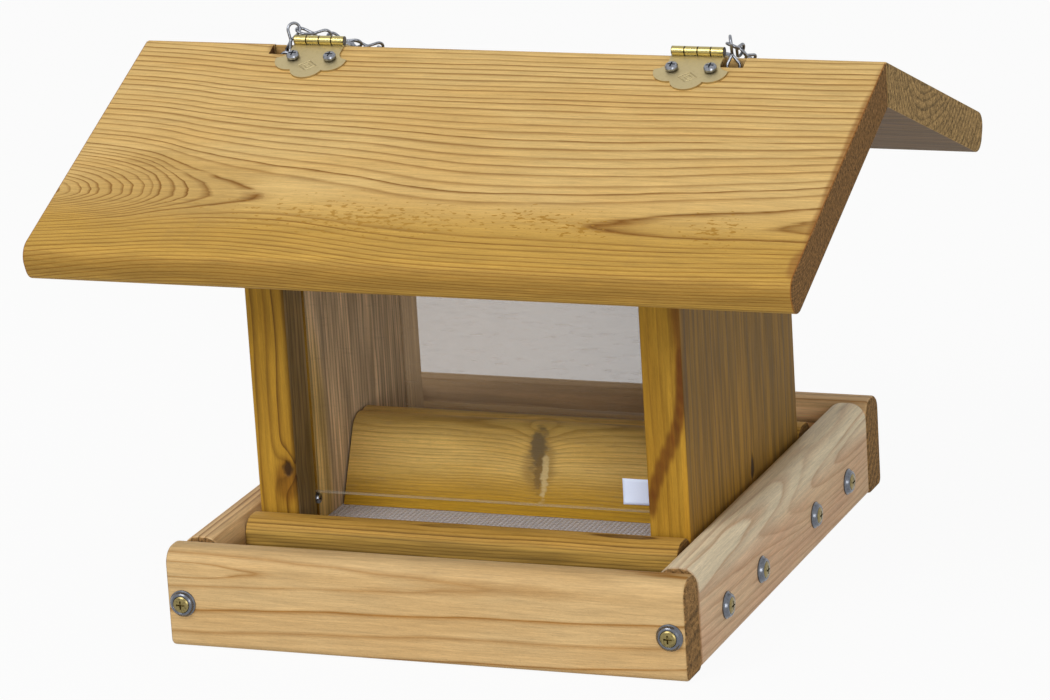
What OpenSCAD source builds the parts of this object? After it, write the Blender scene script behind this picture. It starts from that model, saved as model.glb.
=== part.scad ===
// Hopper bird feeder: four perch rails, two gabled end walls, a roof whose front board is a
// lid on two ornamental hinges, two lift-out panes and a hanging chain. Millimetres.
// X runs along the ridge, -Y is the front, Z is up and the base stands on z = 0.

/* [Boards] */
// thickness of every board
board_t = 22; // [18:0.5:26]
// width of the narrow stock: perch rails, cross rails and seed deflectors
rail_w = 53; // [46:1:60]
// radius of the rounded long edges
round_r = 9; // [6:0.5:9]
// radius of the eased lower edges of the rails
ease_r = 4; // [2:0.5:6]

/* [Base] */
// length of every perch rail
rail_l = 284; // [272:1:300]
// depth of the end walls
wall_d = 178; // [168:1:184]
// height of the seed floor
floor_z = 37.5; // [34:0.5:42]
// thickness of the floor screen
screen_t = 1.2; // [0.8:0.1:1.4]
// how deep the screen's edges sit in the boards
screen_seat = 5; // [3:0.5:7]

/* [Roof] */
// length of both roof boards along the ridge
roof_l = 414; // [380:2:440]
// width of a roof board down its slope
roof_w = 184; // [170:1:195]
// slope of both roof boards
roof_a = 22.5; // [20:0.5:25]
// height of the ridge
ridge_z = 282; // [270:1:300]
// gap between the two boards at the ridge
mitre_gap = 0.5; // [0.4:0.1:1.5]
// gap between the closed lid and the end walls
lid_gap = 0.3; // [0.2:0.1:0.8]
// how far the lid is notched for the chain
notch_d = 7.6; // [7:0.2:10]
// how far the back board is notched for it
back_notch_d = 1.8; // [1.8:0.2:4]

/* [Panes] */
// distance of each pane from the middle
pane_y = 64.5; // [60:0.5:68]
// thickness of a pane
pane_t = 2.4; // [1.5:0.1:2.6]
// width of the saw kerf that holds it
kerf_w = 3; // [2.8:0.1:3.4]
// depth of the saw kerf
kerf_d = 6; // [5:0.5:8]
// height of a pane's lower edge
pane_z = 54.5; // [52:0.5:58]
// how far a pane lifts under the closed roof
pane_lift = 4; // [3:0.5:6]

/* [Seed deflector] */
// slope of the two deflector boards
deflector_a = 63; // [58:0.5:66]
// gap between a deflector's end and the wall
deflector_gap = 1; // [0.5:0.1:2]

/* [Hinges] */
// how far in from its chain slot the middle of each hinge is
hinge_in = 19.5; // [19.5:0.5:24]
// diameter of the barrel
barrel_d = 5; // [4.4:0.1:5.6]
// length of the barrel
barrel_l = 28.7; // [26:0.1:29]
// thickness of the leaves
leaf_t = 1.1; // [0.8:0.1:1.3]
// diameter of the hinge pin
pin_d = 2.4; // [2:0.1:2.8]

/* [Chain] */
// thickness of the chain's wire
wire_d = 1.6; // [1.2:0.1:1.7]
// links that lie on the back board between the two ends
slack_links = 18; // [16:1:19]

/* [Hidden] */
$fn = 96;
eps = 0.01;
fit = 0.1;
seat_gap = 0.3;

slope_s = sin(roof_a);
slope_c = cos(roof_a);
slope_t = tan(roof_a);
half_l = rail_l / 2;
wall_out = half_l - board_t;
wall_in = wall_out - board_t;
wall_x = (wall_in + wall_out) / 2;
cross_y = wall_d / 2;
under_z = ridge_z - board_t / slope_c;
pane_top = under_z - (pane_y + pane_t / 2) * slope_t - lid_gap - pane_lift;
barrel_r = barrel_d / 2;
axis_z = ridge_z + barrel_r / slope_c;
stop_head_r = 3;
stop_head_h = 2.2;
stop_d = 2.8;
stop_l = 14;
stop_z = pane_z - seat_gap - stop_head_r;
nose_r = board_t / 2;
nose_y = -0.42 * nose_r;
nose_z = floor_z + (rail_w - nose_r) * sin(deflector_a) - nose_r * cos(deflector_a);
washer_d = 14.3;
washer_h = 2.9;
screw_d = 4;
screw_l = board_t + 17;
leaf_screw_d = 3.4;
leaf_screw_x = 10.5;
leaf_screw_s = 13;
leaf_screw_l = 15;
rail_screw_z = 24;
side_screw_z = 20;
roof_screw_s = [46, 84];
loop_r = 3.3;
loop_c = 6.2;
link_pitch = 2 * (loop_c + loop_r) - wire_d - 0.2;
lie_h = loop_r * sin(45) + wire_d / 2 + fit;
anchor_d = 3.4;
anchor_l = 27;
anchor_head_d = 8;
anchor_head_h = 2.6;
anchor_y = -2.9;
anchor_out = 9;
anchor_drops = [37.3, 39.3];
left_links = [[0.8, -2.9, -30.5, 0, 90, -90], [0.8, -2.9, -13.3, 0, 90, -90],
              [2.6, 0.3, 1.9, 59.9, 66.1, -109.7], [12.6, 8.2, 4.2, 31.7, -17.6, 103.8],
              [26, 17.2, -1.7, 35.3, -20.3, -45.2], [34.6, 28.1, -6.9, 54.2, -17.8, -60]];
right_links = [[0.5, -2.9, -32.4, 0, 90, 70], [0.5, -2.9, -15.2, 0, 90, 45],
               [-0.7, -1.5, 1.8, 132.3, 80.4, -110.7], [-1.5, 8.3, 2.8, 89.4, -24, 109.1],
               [-1.5, 23.2, -4.6, 90, -32.6, -41.2]];
slot_l = 14;
slot_x = wall_out + 5.5;
hinge_x = slot_x - hinge_in;
slack_from = [39.4 - slot_x, 35.7];
slack_to = [slot_x - 1.5, 31.6];

cedar = [0.8, 0.65, 0.42];
zinc = [0.7, 0.71, 0.73];
brass = [0.86, 0.78, 0.48];
clear = [0.9, 0.94, 0.94, 0.35];

// placing

// on the outer face of a roof board: x along the ridge, y down the slope, z off the board
module on_roof(front) {
    translate([0, 0, ridge_z])
        mirror([0, front ? 1 : 0, 0])
            rotate([-roof_a, 0, 0])
                children();
}

// z axis turned out of the front (-Y) face
module facing_front() {
    rotate([90, 0, 0]) children();
}

// z axis turned to the right (+X)
module facing_right() {
    rotate([0, 90, 0]) children();
}

module both_x() {
    children();
    mirror([1, 0, 0]) children();
}

module both_y() {
    children();
    mirror([0, 1, 0]) children();
}

// sections

// rail standing on edge: rounded above, eased below
module rail_section() {
    w = board_t / 2;
    translate([-w, ease_r]) square([board_t, rail_w - round_r - ease_r]);
    translate([ease_r - w, 0]) square([board_t - 2 * ease_r, rail_w / 2]);
    translate([round_r - w, rail_w / 2]) square([board_t - 2 * round_r, rail_w / 2]);
    for (side = [-1, 1]) {
        translate([side * (w - ease_r), ease_r]) circle(ease_r);
        translate([side * (w - round_r), rail_w - round_r]) circle(round_r);
    }
}

// roof board from the ridge (0) down the slope, with a rounded eave
module roof_section() {
    w = roof_w;
    translate([-board_t, -board_t]) square([w + board_t - round_r, board_t]);
    translate([0, round_r - board_t]) square([w, board_t - 2 * round_r]);
    translate([w - round_r, -round_r]) circle(round_r);
    translate([w - round_r, round_r - board_t]) circle(round_r);
}

// fasteners, each with its head up and its seat at z = 0

module cross_recess(d, depth) {
    for (a = [0, 90]) {
        rotate(a) translate([-d / 2, -d / 10, -depth]) cube([d, d / 5, depth + 2]);
    }
}

// oval-head wood screw; its shank ends `l` below the board's face
module cup_screw(l) {
    top = washer_h;
    difference() {
        rotate_extrude()
            polygon([[0, -l], [screw_d / 2, 4 - l], [screw_d / 2, 0.7], [4.3, top],
                     [3.6, top + 0.45], [2.2, top + 0.8], [0, top + 0.9]]);
        translate([0, 0, top + 0.9]) cross_recess(4.6, 1.7);
    }
}

// cup washer under that screw
module cup_washer() {
    rotate_extrude()
        polygon([[2.5, 0], [washer_d / 2, 0], [washer_d / 2, 0.6], [washer_d / 2 - 0.6, 1.2],
                 [5.9, 2.4], [5.3, washer_h], [4.65, washer_h], [2.5, 0.95]]);
}

module pan_screw(l, d, head_d, head_h) {
    r = head_d / 2;
    difference() {
        rotate_extrude()
            polygon([[0, -l], [d / 2, 3 - l], [d / 2, 0], [r, 0], [r, 0.45 * head_h],
                     [0.86 * r, 0.8 * head_h], [0.5 * r, 0.97 * head_h], [0, head_h]]);
        translate([0, 0, head_h]) cross_recess(0.62 * head_d, 0.6 * head_h);
    }
}

module bore(d, l) {
    translate([0, 0, -l]) cylinder(d = d + fit, h = l + 1);
}

// where the fasteners sit

module at_perch_rail_screws() {
    both_y() both_x()
        translate([half_l - board_t * 0.386, -half_l - board_t, rail_screw_z])
            facing_front() children();
}

module at_side_rail_screws() {
    both_x()
        for (y = [-1.134 * cross_y, -0.5 * cross_y, 0.517 * cross_y, 1.169 * cross_y]) {
            translate([half_l, y, side_screw_z]) facing_right() children();
        }
}

module at_roof_screws() {
    both_x()
        for (s = roof_screw_s) {
            on_roof(false) translate([wall_x, s, 0]) children();
        }
}

module at_leaf_screws(front) {
    both_x()
        on_roof(front)
            for (side = [-1, 1]) {
                translate([hinge_x + side * leaf_screw_x, leaf_screw_s, leaf_t + 0.8]) children();
            }
}

module at_pane_stops() {
    both_y() both_x()
        translate([wall_in, -pane_y, stop_z]) mirror([1, 0, 0]) facing_right() children();
}

// base

module perch_rail() {
    difference() {
        translate([0, -half_l - board_t / 2, 0])
            facing_right() translate([0, 0, -half_l]) linear_extrude(rail_l)
                rotate(90) rail_section();
        at_perch_rail_screws() bore(screw_d, screw_l);
    }
}

module front_perch_rail() {
    color(cedar) perch_rail();
}

module back_perch_rail() {
    color(cedar) mirror([0, 1, 0]) perch_rail();
}

module side_rail() {
    difference() {
        translate([half_l - board_t / 2, half_l, 0])
            facing_front() linear_extrude(rail_l) rail_section();
        at_perch_rail_screws() bore(screw_d, screw_l);
        at_side_rail_screws() bore(screw_d, screw_l);
    }
}

module left_side_rail() {
    color(cedar) mirror([1, 0, 0]) side_rail();
}

module right_side_rail() {
    color(cedar) side_rail();
}

module floor_kerf() {
    x = wall_in + screen_seat + seat_gap;
    y = cross_y + screen_seat + seat_gap;
    translate([-x, -y, floor_z - screen_t]) cube([2 * x, 2 * y, screen_t + seat_gap]);
}

module cross_rail(side) {
    difference() {
        translate([0, side * (cross_y + board_t / 2), 0])
            facing_right() translate([0, 0, -wall_out]) linear_extrude(2 * wall_out)
                rotate(90) rail_section();
        floor_kerf();
        at_side_rail_screws() bore(screw_d, screw_l);
    }
}

module front_cross_rail() {
    color(cedar) cross_rail(-1);
}

module back_cross_rail() {
    color(cedar) cross_rail(1);
}

// coarse grid that stands for the fine mesh
module floor_screen() {
    x = wall_in + screen_seat;
    y = cross_y + screen_seat;
    pitch = 13;
    hole = 10;
    nx = floor(2 * (wall_in - 1) / pitch);
    ny = floor(2 * (cross_y - 1) / pitch);
    color(zinc)
        translate([0, 0, floor_z - screen_t]) linear_extrude(screen_t)
            difference() {
                translate([-x, -y]) square([2 * x, 2 * y]);
                for (i = [0:nx - 1], j = [0:ny - 1]) {
                    translate([(i - (nx - 1) / 2) * pitch - hole / 2,
                               (j - (ny - 1) / 2) * pitch - hole / 2])
                        square(hole);
                }
            }
}

// hopper

module wall_section() {
    y = cross_y;
    edge_z = under_z - y * slope_t;
    polygon([[-y, 0], [y, 0], [y, edge_z], [0, under_z], [0, under_z - lid_gap],
             [-y, edge_z - lid_gap]]);
}

module end_wall(side) {
    difference() {
        translate([wall_in, 0, 0])
            rotate([90, 0, 90]) linear_extrude(board_t) wall_section();
        floor_kerf();
        both_y()
            translate([wall_in - 1, -pane_y - kerf_w / 2, -1])
                cube([kerf_d + 1, kerf_w, ridge_z]);
        at_side_rail_screws() bore(screw_d, screw_l);
        at_roof_screws() bore(screw_d, screw_l);
        at_pane_stops() bore(stop_d, stop_l);
        translate([wall_out + anchor_out, anchor_y, ridge_z - anchor_drops[side]])
            facing_right() bore(anchor_d, anchor_l);
    }
}

module left_end_wall() {
    color(cedar) mirror([1, 0, 0]) end_wall(0);
}

module right_end_wall() {
    color(cedar) end_wall(1);
}

module deflector() {
    l = wall_in - deflector_gap;
    color(cedar)
        translate([-l, 0, 0]) rotate([90, 0, 90]) linear_extrude(2 * l)
            intersection() {
                translate([nose_y, nose_z]) rotate(deflector_a - 180) union() {
                    circle(nose_r);
                    translate([0, -nose_r]) square([2 * rail_w, board_t]);
                }
                translate([-cross_y, floor_z]) square([cross_y, ridge_z]);
            }
}

module front_seed_deflector() {
    deflector();
}

module back_seed_deflector() {
    mirror([0, 1, 0]) deflector();
}

module pane() {
    x = wall_in + kerf_d - seat_gap;
    color(clear)
        translate([-x, -pane_y - pane_t / 2, pane_z]) cube([2 * x, pane_t, pane_top - pane_z]);
}

module front_pane() {
    pane();
}

module back_pane() {
    mirror([0, 1, 0]) pane();
}

module pane_stop_screws() {
    color(zinc) at_pane_stops() pan_screw(stop_l, stop_d, 2 * stop_head_r, stop_head_h);
}

// roof

module roof_board(front) {
    translate([-roof_l / 2, 0, 0]) intersection() {
        on_roof(front)
            rotate([90, 0, 90]) linear_extrude(roof_l) roof_section();
        mirror([0, front ? 1 : 0, 0])
            translate([-1, mitre_gap / 2, 0]) cube([roof_l + 2, roof_w, 2 * ridge_z]);
    }
}

// slots beside the end walls that the chain comes up through
module chain_slots() {
    both_x()
        translate([slot_x - slot_l / 2, -notch_d, ridge_z / 2])
            cube([slot_l, notch_d + back_notch_d, ridge_z]);
}

module front_roof_board() {
    color(cedar) difference() {
        roof_board(true);
        chain_slots();
        at_leaf_screws(true) bore(leaf_screw_d, leaf_screw_l);
    }
}

module back_roof_board() {
    color(cedar) difference() {
        roof_board(false);
        chain_slots();
        at_leaf_screws(false) bore(leaf_screw_d, leaf_screw_l);
        at_roof_screws() bore(screw_d, screw_l);
    }
}

// hinges

module leaf_outline() {
    difference() {
        union() {
            translate([-barrel_l / 2, -barrel_r * slope_t]) square([barrel_l, 14]);
            translate([-8, 0]) square([16, 22]);
            circle_at(0, 21, 9.1);
            for (side = [-1, 1]) {
                circle_at(side * 11, 14.7, 9);
            }
        }
        for (side = [-1, 1]) {
            circle_at(side * (barrel_l / 2 + 6.25), 7.3, 6.3);
            circle_at(side * leaf_screw_x, leaf_screw_s, 2.2);
        }
    }
}

module circle_at(x, y, r) {
    translate([x, y]) circle(r);
}

// a leaf with knuckles `first` and `first` + 2 of four, counted from the left
module hinge_leaf(x, front, first) {
    knuckle = barrel_l / 4;
    color(brass) translate([x, 0, 0]) difference() {
        union() {
            on_roof(front) linear_extrude(leaf_t) leaf_outline();
            for (k = [first, first + 2]) {
                translate([k * knuckle - barrel_l / 2 + 0.1, 0, axis_z])
                    facing_right() cylinder(r = barrel_r - 0.05, h = knuckle - 0.2);
            }
        }
        translate([-barrel_l / 2 - 1, 0, axis_z])
            facing_right() cylinder(d = pin_d + fit, h = barrel_l + 2);
        for (k = [1 - first, 3 - first]) {
            translate([k * knuckle - barrel_l / 2 - 0.15, 0, axis_z])
                facing_right() cylinder(r = barrel_r + seat_gap, h = knuckle + 0.3);
            on_roof(front)
                translate([k * knuckle - barrel_l / 2 - 0.1, -barrel_d, -1])
                    cube([knuckle + 0.2, barrel_d + 1, 2 + leaf_t]);
        }
    }
}

module hinge_pin(x) {
    color(brass)
        translate([x - barrel_l / 2 + 0.1, 0, axis_z])
            facing_right() cylinder(d = pin_d, h = barrel_l - 0.2);
}

module left_hinge_front_leaf() {
    hinge_leaf(-hinge_x, true, 0);
}

module left_hinge_back_leaf() {
    hinge_leaf(-hinge_x, false, 1);
}

module left_hinge_pin() {
    hinge_pin(-hinge_x);
}

module right_hinge_front_leaf() {
    hinge_leaf(hinge_x, true, 0);
}

module right_hinge_back_leaf() {
    hinge_leaf(hinge_x, false, 1);
}

module right_hinge_pin() {
    hinge_pin(hinge_x);
}

module front_leaf_screws() {
    color(zinc) at_leaf_screws(true) pan_screw(leaf_screw_l, leaf_screw_d, 6.9, 2.4);
}

module back_leaf_screws() {
    color(zinc) at_leaf_screws(false) pan_screw(leaf_screw_l, leaf_screw_d, 6.9, 2.4);
}

// chain

// one loop of a link, in the XZ plane, from the link's middle up
module chain_loop() {
    tangent = acos(loop_r / loop_c);
    translate([0, 0, loop_c])
        rotate([90, 0, 0]) rotate(tangent - 90)
            rotate_extrude(angle = 360 - 2 * tangent) translate([loop_r, 0]) circle(d = wire_d);
    for (side = [-1, 1]) {
        rotate([0, side * (90 - tangent), 0])
            cylinder(d = wire_d - 0.06, h = loop_c * sin(tangent) + 0.3);
    }
}

// two loops at right angles, the first one hanging down
module chain_link() {
    mirror([0, 0, 1]) chain_loop();
    rotate(90) chain_loop();
    sphere(d = 1.25 * wire_d);
}

// a link at `at`, pointing along azimuth `az` and elevation `el`
module place_link(at, az, el, roll) {
    translate(at) rotate([0, 90 - el, az]) rotate(roll) chain_link();
}

// links that stand in a slot, each [x, y, z over the ridge, azimuth, elevation, roll]
module standing_links(x, links) {
    for (l = links) {
        place_link([x + l[0], l[1], ridge_z + l[2]], l[3], l[4], l[5]);
    }
}

// turn between links that hang in an arc of n links over a span of `span` link pitches
function arc_turn(span, n, lo = 1, hi = 60) =
    let (mid = (lo + hi) / 2)
    hi - lo < 0.001 ? mid
    : sin(n * mid / 2) / sin(mid / 2) > span ? arc_turn(span, n, mid, hi)
    : arc_turn(span, n, lo, mid);

// the slack, lying down the slope of the back board: an arc of links from point a, [x, s],
// and a straight run of `run` links that ends at point b
module slack_chain(a, top, run) {
    n = slack_links;
    b = top + [0, run * link_pitch];
    span = norm(b - a);
    turn = arc_turn(span / link_pitch, n);
    heading = atan2(b[1] - a[1], b[0] - a[0]) + (n - 1) * turn / 2;
    on_roof(false) for (i = [0:n - 1]) {
        h = [for (k = [0:1:i]) heading - k * turn];
        p = a + link_pitch * sum_dirs(h, i);
        place_link([p[0], p[1], lie_h], h[i], 0, -45);
    }
    on_roof(false) for (i = [0:run - 1]) {
        place_link([top[0], top[1] + (i + 0.5) * link_pitch, lie_h], -90, 0, -45);
    }
}

// middle of link i, in pitches, when every link before it has the headings h
function sum_dirs(h, i) =
    i == 0 ? 0.5 * [cos(h[0]), sin(h[0])]
    : sum_dirs(h, i - 1) + 0.5 * [cos(h[i - 1]) + cos(h[i]), sin(h[i - 1]) + sin(h[i])];

module hanging_chain() {
    color(zinc) {
        standing_links(-slot_x, left_links);
        standing_links(slot_x, right_links);
        slack_chain(slack_from, slack_to, 3);
    }
}

// under the roof, outside each end wall: 0 is the left one
module at_chain_anchor(side) {
    mirror([1 - side, 0, 0])
        translate([wall_out + anchor_out, anchor_y, ridge_z - anchor_drops[side]])
            facing_right() children();
}

module chain_anchor_screws() {
    color(zinc) for (side = [0, 1]) {
        at_chain_anchor(side) pan_screw(anchor_l, anchor_d, anchor_head_d, anchor_head_h);
    }
}

// board screws

module perch_rail_screws() {
    color(zinc) at_perch_rail_screws() cup_screw(screw_l);
}

module perch_rail_washers() {
    color(zinc) at_perch_rail_screws() cup_washer();
}

module side_rail_screws() {
    color(zinc) at_side_rail_screws() cup_screw(screw_l);
}

module side_rail_washers() {
    color(zinc) at_side_rail_screws() cup_washer();
}

module roof_board_screws() {
    color(zinc) at_roof_screws() cup_screw(screw_l);
}

module roof_board_washers() {
    color(zinc) at_roof_screws() cup_washer();
}

front_perch_rail();
back_perch_rail();
left_side_rail();
right_side_rail();
front_cross_rail();
back_cross_rail();
floor_screen();
left_end_wall();
right_end_wall();
front_seed_deflector();
back_seed_deflector();
front_pane();
back_pane();
front_roof_board();
back_roof_board();
left_hinge_front_leaf();
left_hinge_back_leaf();
left_hinge_pin();
right_hinge_front_leaf();
right_hinge_back_leaf();
right_hinge_pin();
front_leaf_screws();
back_leaf_screws();
perch_rail_screws();
perch_rail_washers();
side_rail_screws();
side_rail_washers();
roof_board_screws();
roof_board_washers();
pane_stop_screws();
chain_anchor_screws();
hanging_chain();
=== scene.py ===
"""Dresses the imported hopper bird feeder: sawn cedar, brass hinges, zinc hardware, clear panes.

Lengths are in millimetres in the part's own frame (X along the ridge, -Y the front, Z up, base
on z = 0) and become metres when a mesh is made. Colours are display colours of 0 to 255.
"""

from __future__ import annotations

import logging
import math
from dataclasses import dataclass, field
from enum import Enum
from typing import Sequence

import bpy
import numpy as np
from mathutils import Matrix, Vector

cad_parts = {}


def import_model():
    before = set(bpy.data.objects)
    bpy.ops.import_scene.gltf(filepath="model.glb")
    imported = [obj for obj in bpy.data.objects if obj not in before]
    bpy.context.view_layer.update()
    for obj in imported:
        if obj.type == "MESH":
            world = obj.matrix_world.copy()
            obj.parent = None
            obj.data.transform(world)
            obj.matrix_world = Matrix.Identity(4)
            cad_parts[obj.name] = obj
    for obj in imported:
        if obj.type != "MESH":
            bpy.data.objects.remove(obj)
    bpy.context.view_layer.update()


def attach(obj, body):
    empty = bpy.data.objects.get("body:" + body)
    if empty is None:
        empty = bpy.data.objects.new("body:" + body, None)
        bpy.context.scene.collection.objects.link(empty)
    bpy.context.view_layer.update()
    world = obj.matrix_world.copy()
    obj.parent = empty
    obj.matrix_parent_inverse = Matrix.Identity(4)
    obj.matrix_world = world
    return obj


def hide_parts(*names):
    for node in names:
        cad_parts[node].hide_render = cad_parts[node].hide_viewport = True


log = logging.getLogger("feeder")

Colour = tuple[float, float, float]
Point = tuple[float, float, float]
Socket = bpy.types.NodeSocket

MM = 0.001
X, Y, Z = (1, 0, 0), (0, 1, 0), (0, 0, 1)
ROOF_SLOPE = math.radians(22.5)
SLOPE_COS, SLOPE_SIN = math.cos(ROOF_SLOPE), math.sin(ROOF_SLOPE)
SLOPE_TAN = math.tan(ROOF_SLOPE)
RIDGE_Z = 282.0
BOARD_T = 22.0
UNDER_Z = RIDGE_Z - BOARD_T / SLOPE_COS
FLOOR_Z = 37.5
HINGE_X = 106.0
BARREL_R = 2.5
AXIS_Z = RIDGE_Z + BARREL_R / SLOPE_COS

SHARP_DEG = 35.0  # edges that turn by more are shaded sharp
BOARD_RINGS = 13  # rings along a board, its ends among them
LEAST_MITRE = 0.2  # keeps an inset's sharp corners from running far in
LEAST_SIDE = 1e-9  # keeps a side of no length from dividing by zero


class Body(Enum):
    """The moving bodies of the feeder."""

    FEEDER = "feeder"
    LID = "lid"
    FRONT_WINDOW = "front_window"
    BACK_WINDOW = "back_window"


class Slot(Enum):
    """The record's material slots."""

    CEDAR = "cedar"
    BRASS = "brass"
    ZINC = "zinc"
    SCREWS = "screws"
    MESH = "mesh"
    PANE = "pane"


def tone(red: float, green: float, blue: float) -> tuple[float, float, float, float]:
    """Turns a display colour into the linear one that a shader takes.

    Below 0.04045 the linear value is the display one over 12.92, and above it is the power 2.4
    of the display value plus 0.055, over 1.055.

    Args:
        red: red, 0 to 255.
        green: green, 0 to 255.
        blue: blue, 0 to 255.

    Returns:
        Linear red, green and blue from 0 to 1, and a full alpha.
    """
    display = np.array([red, green, blue]) / 255.0
    linear = np.where(display <= 0.04045, display / 12.92, ((display + 0.055) / 1.055) ** 2.4)
    return (float(linear[0]), float(linear[1]), float(linear[2]), 1.0)


def face_name(side: int) -> str:
    """Names the feeder's face on a side: front for -1 and back for 1."""
    return "front" if side < 0 else "back"


# Meshes


def make_mesh(name: str, points: np.ndarray, faces: Sequence[np.ndarray],
              sharp: float = SHARP_DEG) -> bpy.types.Object:
    """Makes an object at the origin from points in millimetres.

    Args:
        name: the piece's name.
        points: an array of points, one a row.
        faces: arrays of vertex numbers, each (faces, corners) or one face of many corners.
        sharp: edges that turn by more than this many degrees are shaded sharp.

    Returns:
        The new object, linked to the scene.
    """
    tables = [np.atleast_2d(np.asarray(f, dtype=np.int32)) for f in faces]
    loops = np.concatenate([t.ravel() for t in tables])
    totals = np.concatenate([np.full(len(t), t.shape[1], dtype=np.int32) for t in tables])
    starts = np.concatenate([[0], np.cumsum(totals)[:-1]]).astype(np.int32)
    mesh = bpy.data.meshes.new(name)
    mesh.vertices.add(len(points))
    mesh.vertices.foreach_set("co", (np.asarray(points, dtype=np.float32) * MM).ravel())
    mesh.loops.add(len(loops))
    mesh.loops.foreach_set("vertex_index", loops)
    mesh.polygons.add(len(starts))
    mesh.polygons.foreach_set("loop_start", starts)
    mesh.polygons.foreach_set("use_smooth", np.ones(len(starts), dtype=bool))
    mesh.update(calc_edges=True)
    mesh.validate()
    mesh.set_sharp_from_angle(angle=math.radians(sharp))
    piece = bpy.data.objects.new(name, mesh)
    bpy.context.scene.collection.objects.link(piece)
    return piece


def steady_normals(piece: bpy.types.Object) -> bpy.types.Object:
    """Lets a piece's large flat faces rule the shading beside rounded edges, and returns it."""
    piece.modifiers.new("steady normals", "WEIGHTED_NORMAL").keep_sharp = True
    return piece


def thicken(piece: bpy.types.Object, thickness: float, offset: float) -> bpy.types.Object:
    """Gives a sheet its thickness.

    Args:
        piece: the sheet.
        thickness: in millimetres.
        offset: -1 puts it all behind the sheet's face, and 0 half on each side.

    Returns:
        The piece.
    """
    wall = piece.modifiers.new("thickness", "SOLIDIFY")
    wall.thickness, wall.offset = thickness * MM, offset
    return piece


def grid_faces(rows: int, columns: int, closed: bool) -> np.ndarray:
    """Quads of a grid of points numbered row by row.

    Args:
        rows: number of rows.
        columns: points in a row.
        closed: whether the last point of a row joins the first.

    Returns:
        Vertex numbers, one quad a row: each point with its right, upper right and upper one.
    """
    across = columns if closed else columns - 1
    i, j = np.meshgrid(np.arange(rows - 1), np.arange(across), indexing="ij")
    here, beside = i * columns + j, i * columns + (j + 1) % columns
    return np.stack([here, beside, beside + columns, here + columns], axis=-1).reshape(-1, 4)


def rounded(corners: np.ndarray, radii: np.ndarray, steps: int) -> np.ndarray:
    """Rounds a counterclockwise outline's corners.

    Each corner becomes an arc from the tangent point on the side before it to the one after:
    centre plus radius times the cosine and sine of an angle that runs between the sides' normals.

    Args:
        corners: (n, 2) corners.
        radii: radius at each corner.
        steps: points in each arc.

    Returns:
        (n * steps, 2) points.
    """
    before = corners - np.roll(corners, 1, axis=0)
    after = np.roll(corners, -1, axis=0) - corners
    before /= np.linalg.norm(before, axis=1, keepdims=True)
    after /= np.linalg.norm(after, axis=1, keepdims=True)
    turn = np.arctan2(before[:, 0] * after[:, 1] - before[:, 1] * after[:, 0],
                      (before * after).sum(axis=1))
    tangent = radii * np.abs(np.tan(turn / 2))
    inward = np.stack([-before[:, 1], before[:, 0]], axis=1) * np.sign(turn)[:, None]
    centre = corners - before * tangent[:, None] + inward * radii[:, None]
    start = np.arctan2(-inward[:, 1], -inward[:, 0])
    angle = start[:, None] + turn[:, None] * np.linspace(0, 1, steps)[None, :]
    arc = np.stack([np.cos(angle), np.sin(angle)], axis=-1) * radii[:, None, None]
    return (centre[:, None, :] + arc).reshape(-1, 2)


def inset(outline: np.ndarray, depth: np.ndarray) -> np.ndarray:
    """Moves a counterclockwise outline inwards: each point by depth over the cosine of half
    its turn, along the mean of its two sides' normals.

    Args:
        outline: (n, 2) points.
        depth: (m,) depths.

    Returns:
        (m, n, 2) points.
    """
    ahead = np.roll(outline, -1, axis=0) - outline
    length = np.maximum(np.linalg.norm(ahead, axis=1, keepdims=True), LEAST_SIDE)
    inward = np.stack([-ahead[:, 1], ahead[:, 0]], axis=1) / length
    mean = inward + np.roll(inward, 1, axis=0)
    mean /= np.maximum((mean * mean).sum(axis=1, keepdims=True) / 2, LEAST_MITRE)
    return outline[None] + depth[:, None, None] * mean[None]


def eased_stations(length: float, ease: float, steps: int = 4) -> tuple[np.ndarray, np.ndarray]:
    """Places and insets of the rings of a board with eased ends.

    Near each end the place is ease * (1 - cos a) from it and the inset ease * (1 - sin a),
    for a from 0 to a right angle.

    Args:
        length: the board's length, centred on 0.
        ease: radius of the end's edge.
        steps: rings in each eased end.

    Returns:
        Places and insets, both one value a ring.
    """
    a = np.linspace(0, math.pi / 2, steps)
    place, depth = ease * (1 - np.cos(a)), ease * (1 - np.sin(a))
    half = length / 2
    middle = np.linspace(-half, half, BOARD_RINGS)[1:-1]
    return (np.concatenate([place - half, middle, (half - place)[::-1]]),
            np.concatenate([depth, 0 * middle, depth[::-1]]))


def loft(name: str, rings: np.ndarray,
         caps: Sequence[np.ndarray] | None = None) -> bpy.types.Object:
    """Closes a stack of rings into a solid: quads between rings and a flat face at each end.

    Args:
        name: the piece's name.
        rings: (m, n, 3) points, each ring counterclockwise as seen from the last one.
        caps: point numbers within a ring of each face that closes an end; the whole ring
            if left out.

    Returns:
        The new object.
    """
    m, n, _ = rings.shape
    ends = [np.arange(n)] if caps is None else list(caps)
    faces = [grid_faces(m, n, closed=True)]
    faces += [end[::-1] for end in ends] + [end + (m - 1) * n for end in ends]
    return make_mesh(name, rings.reshape(-1, 3), faces)


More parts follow.
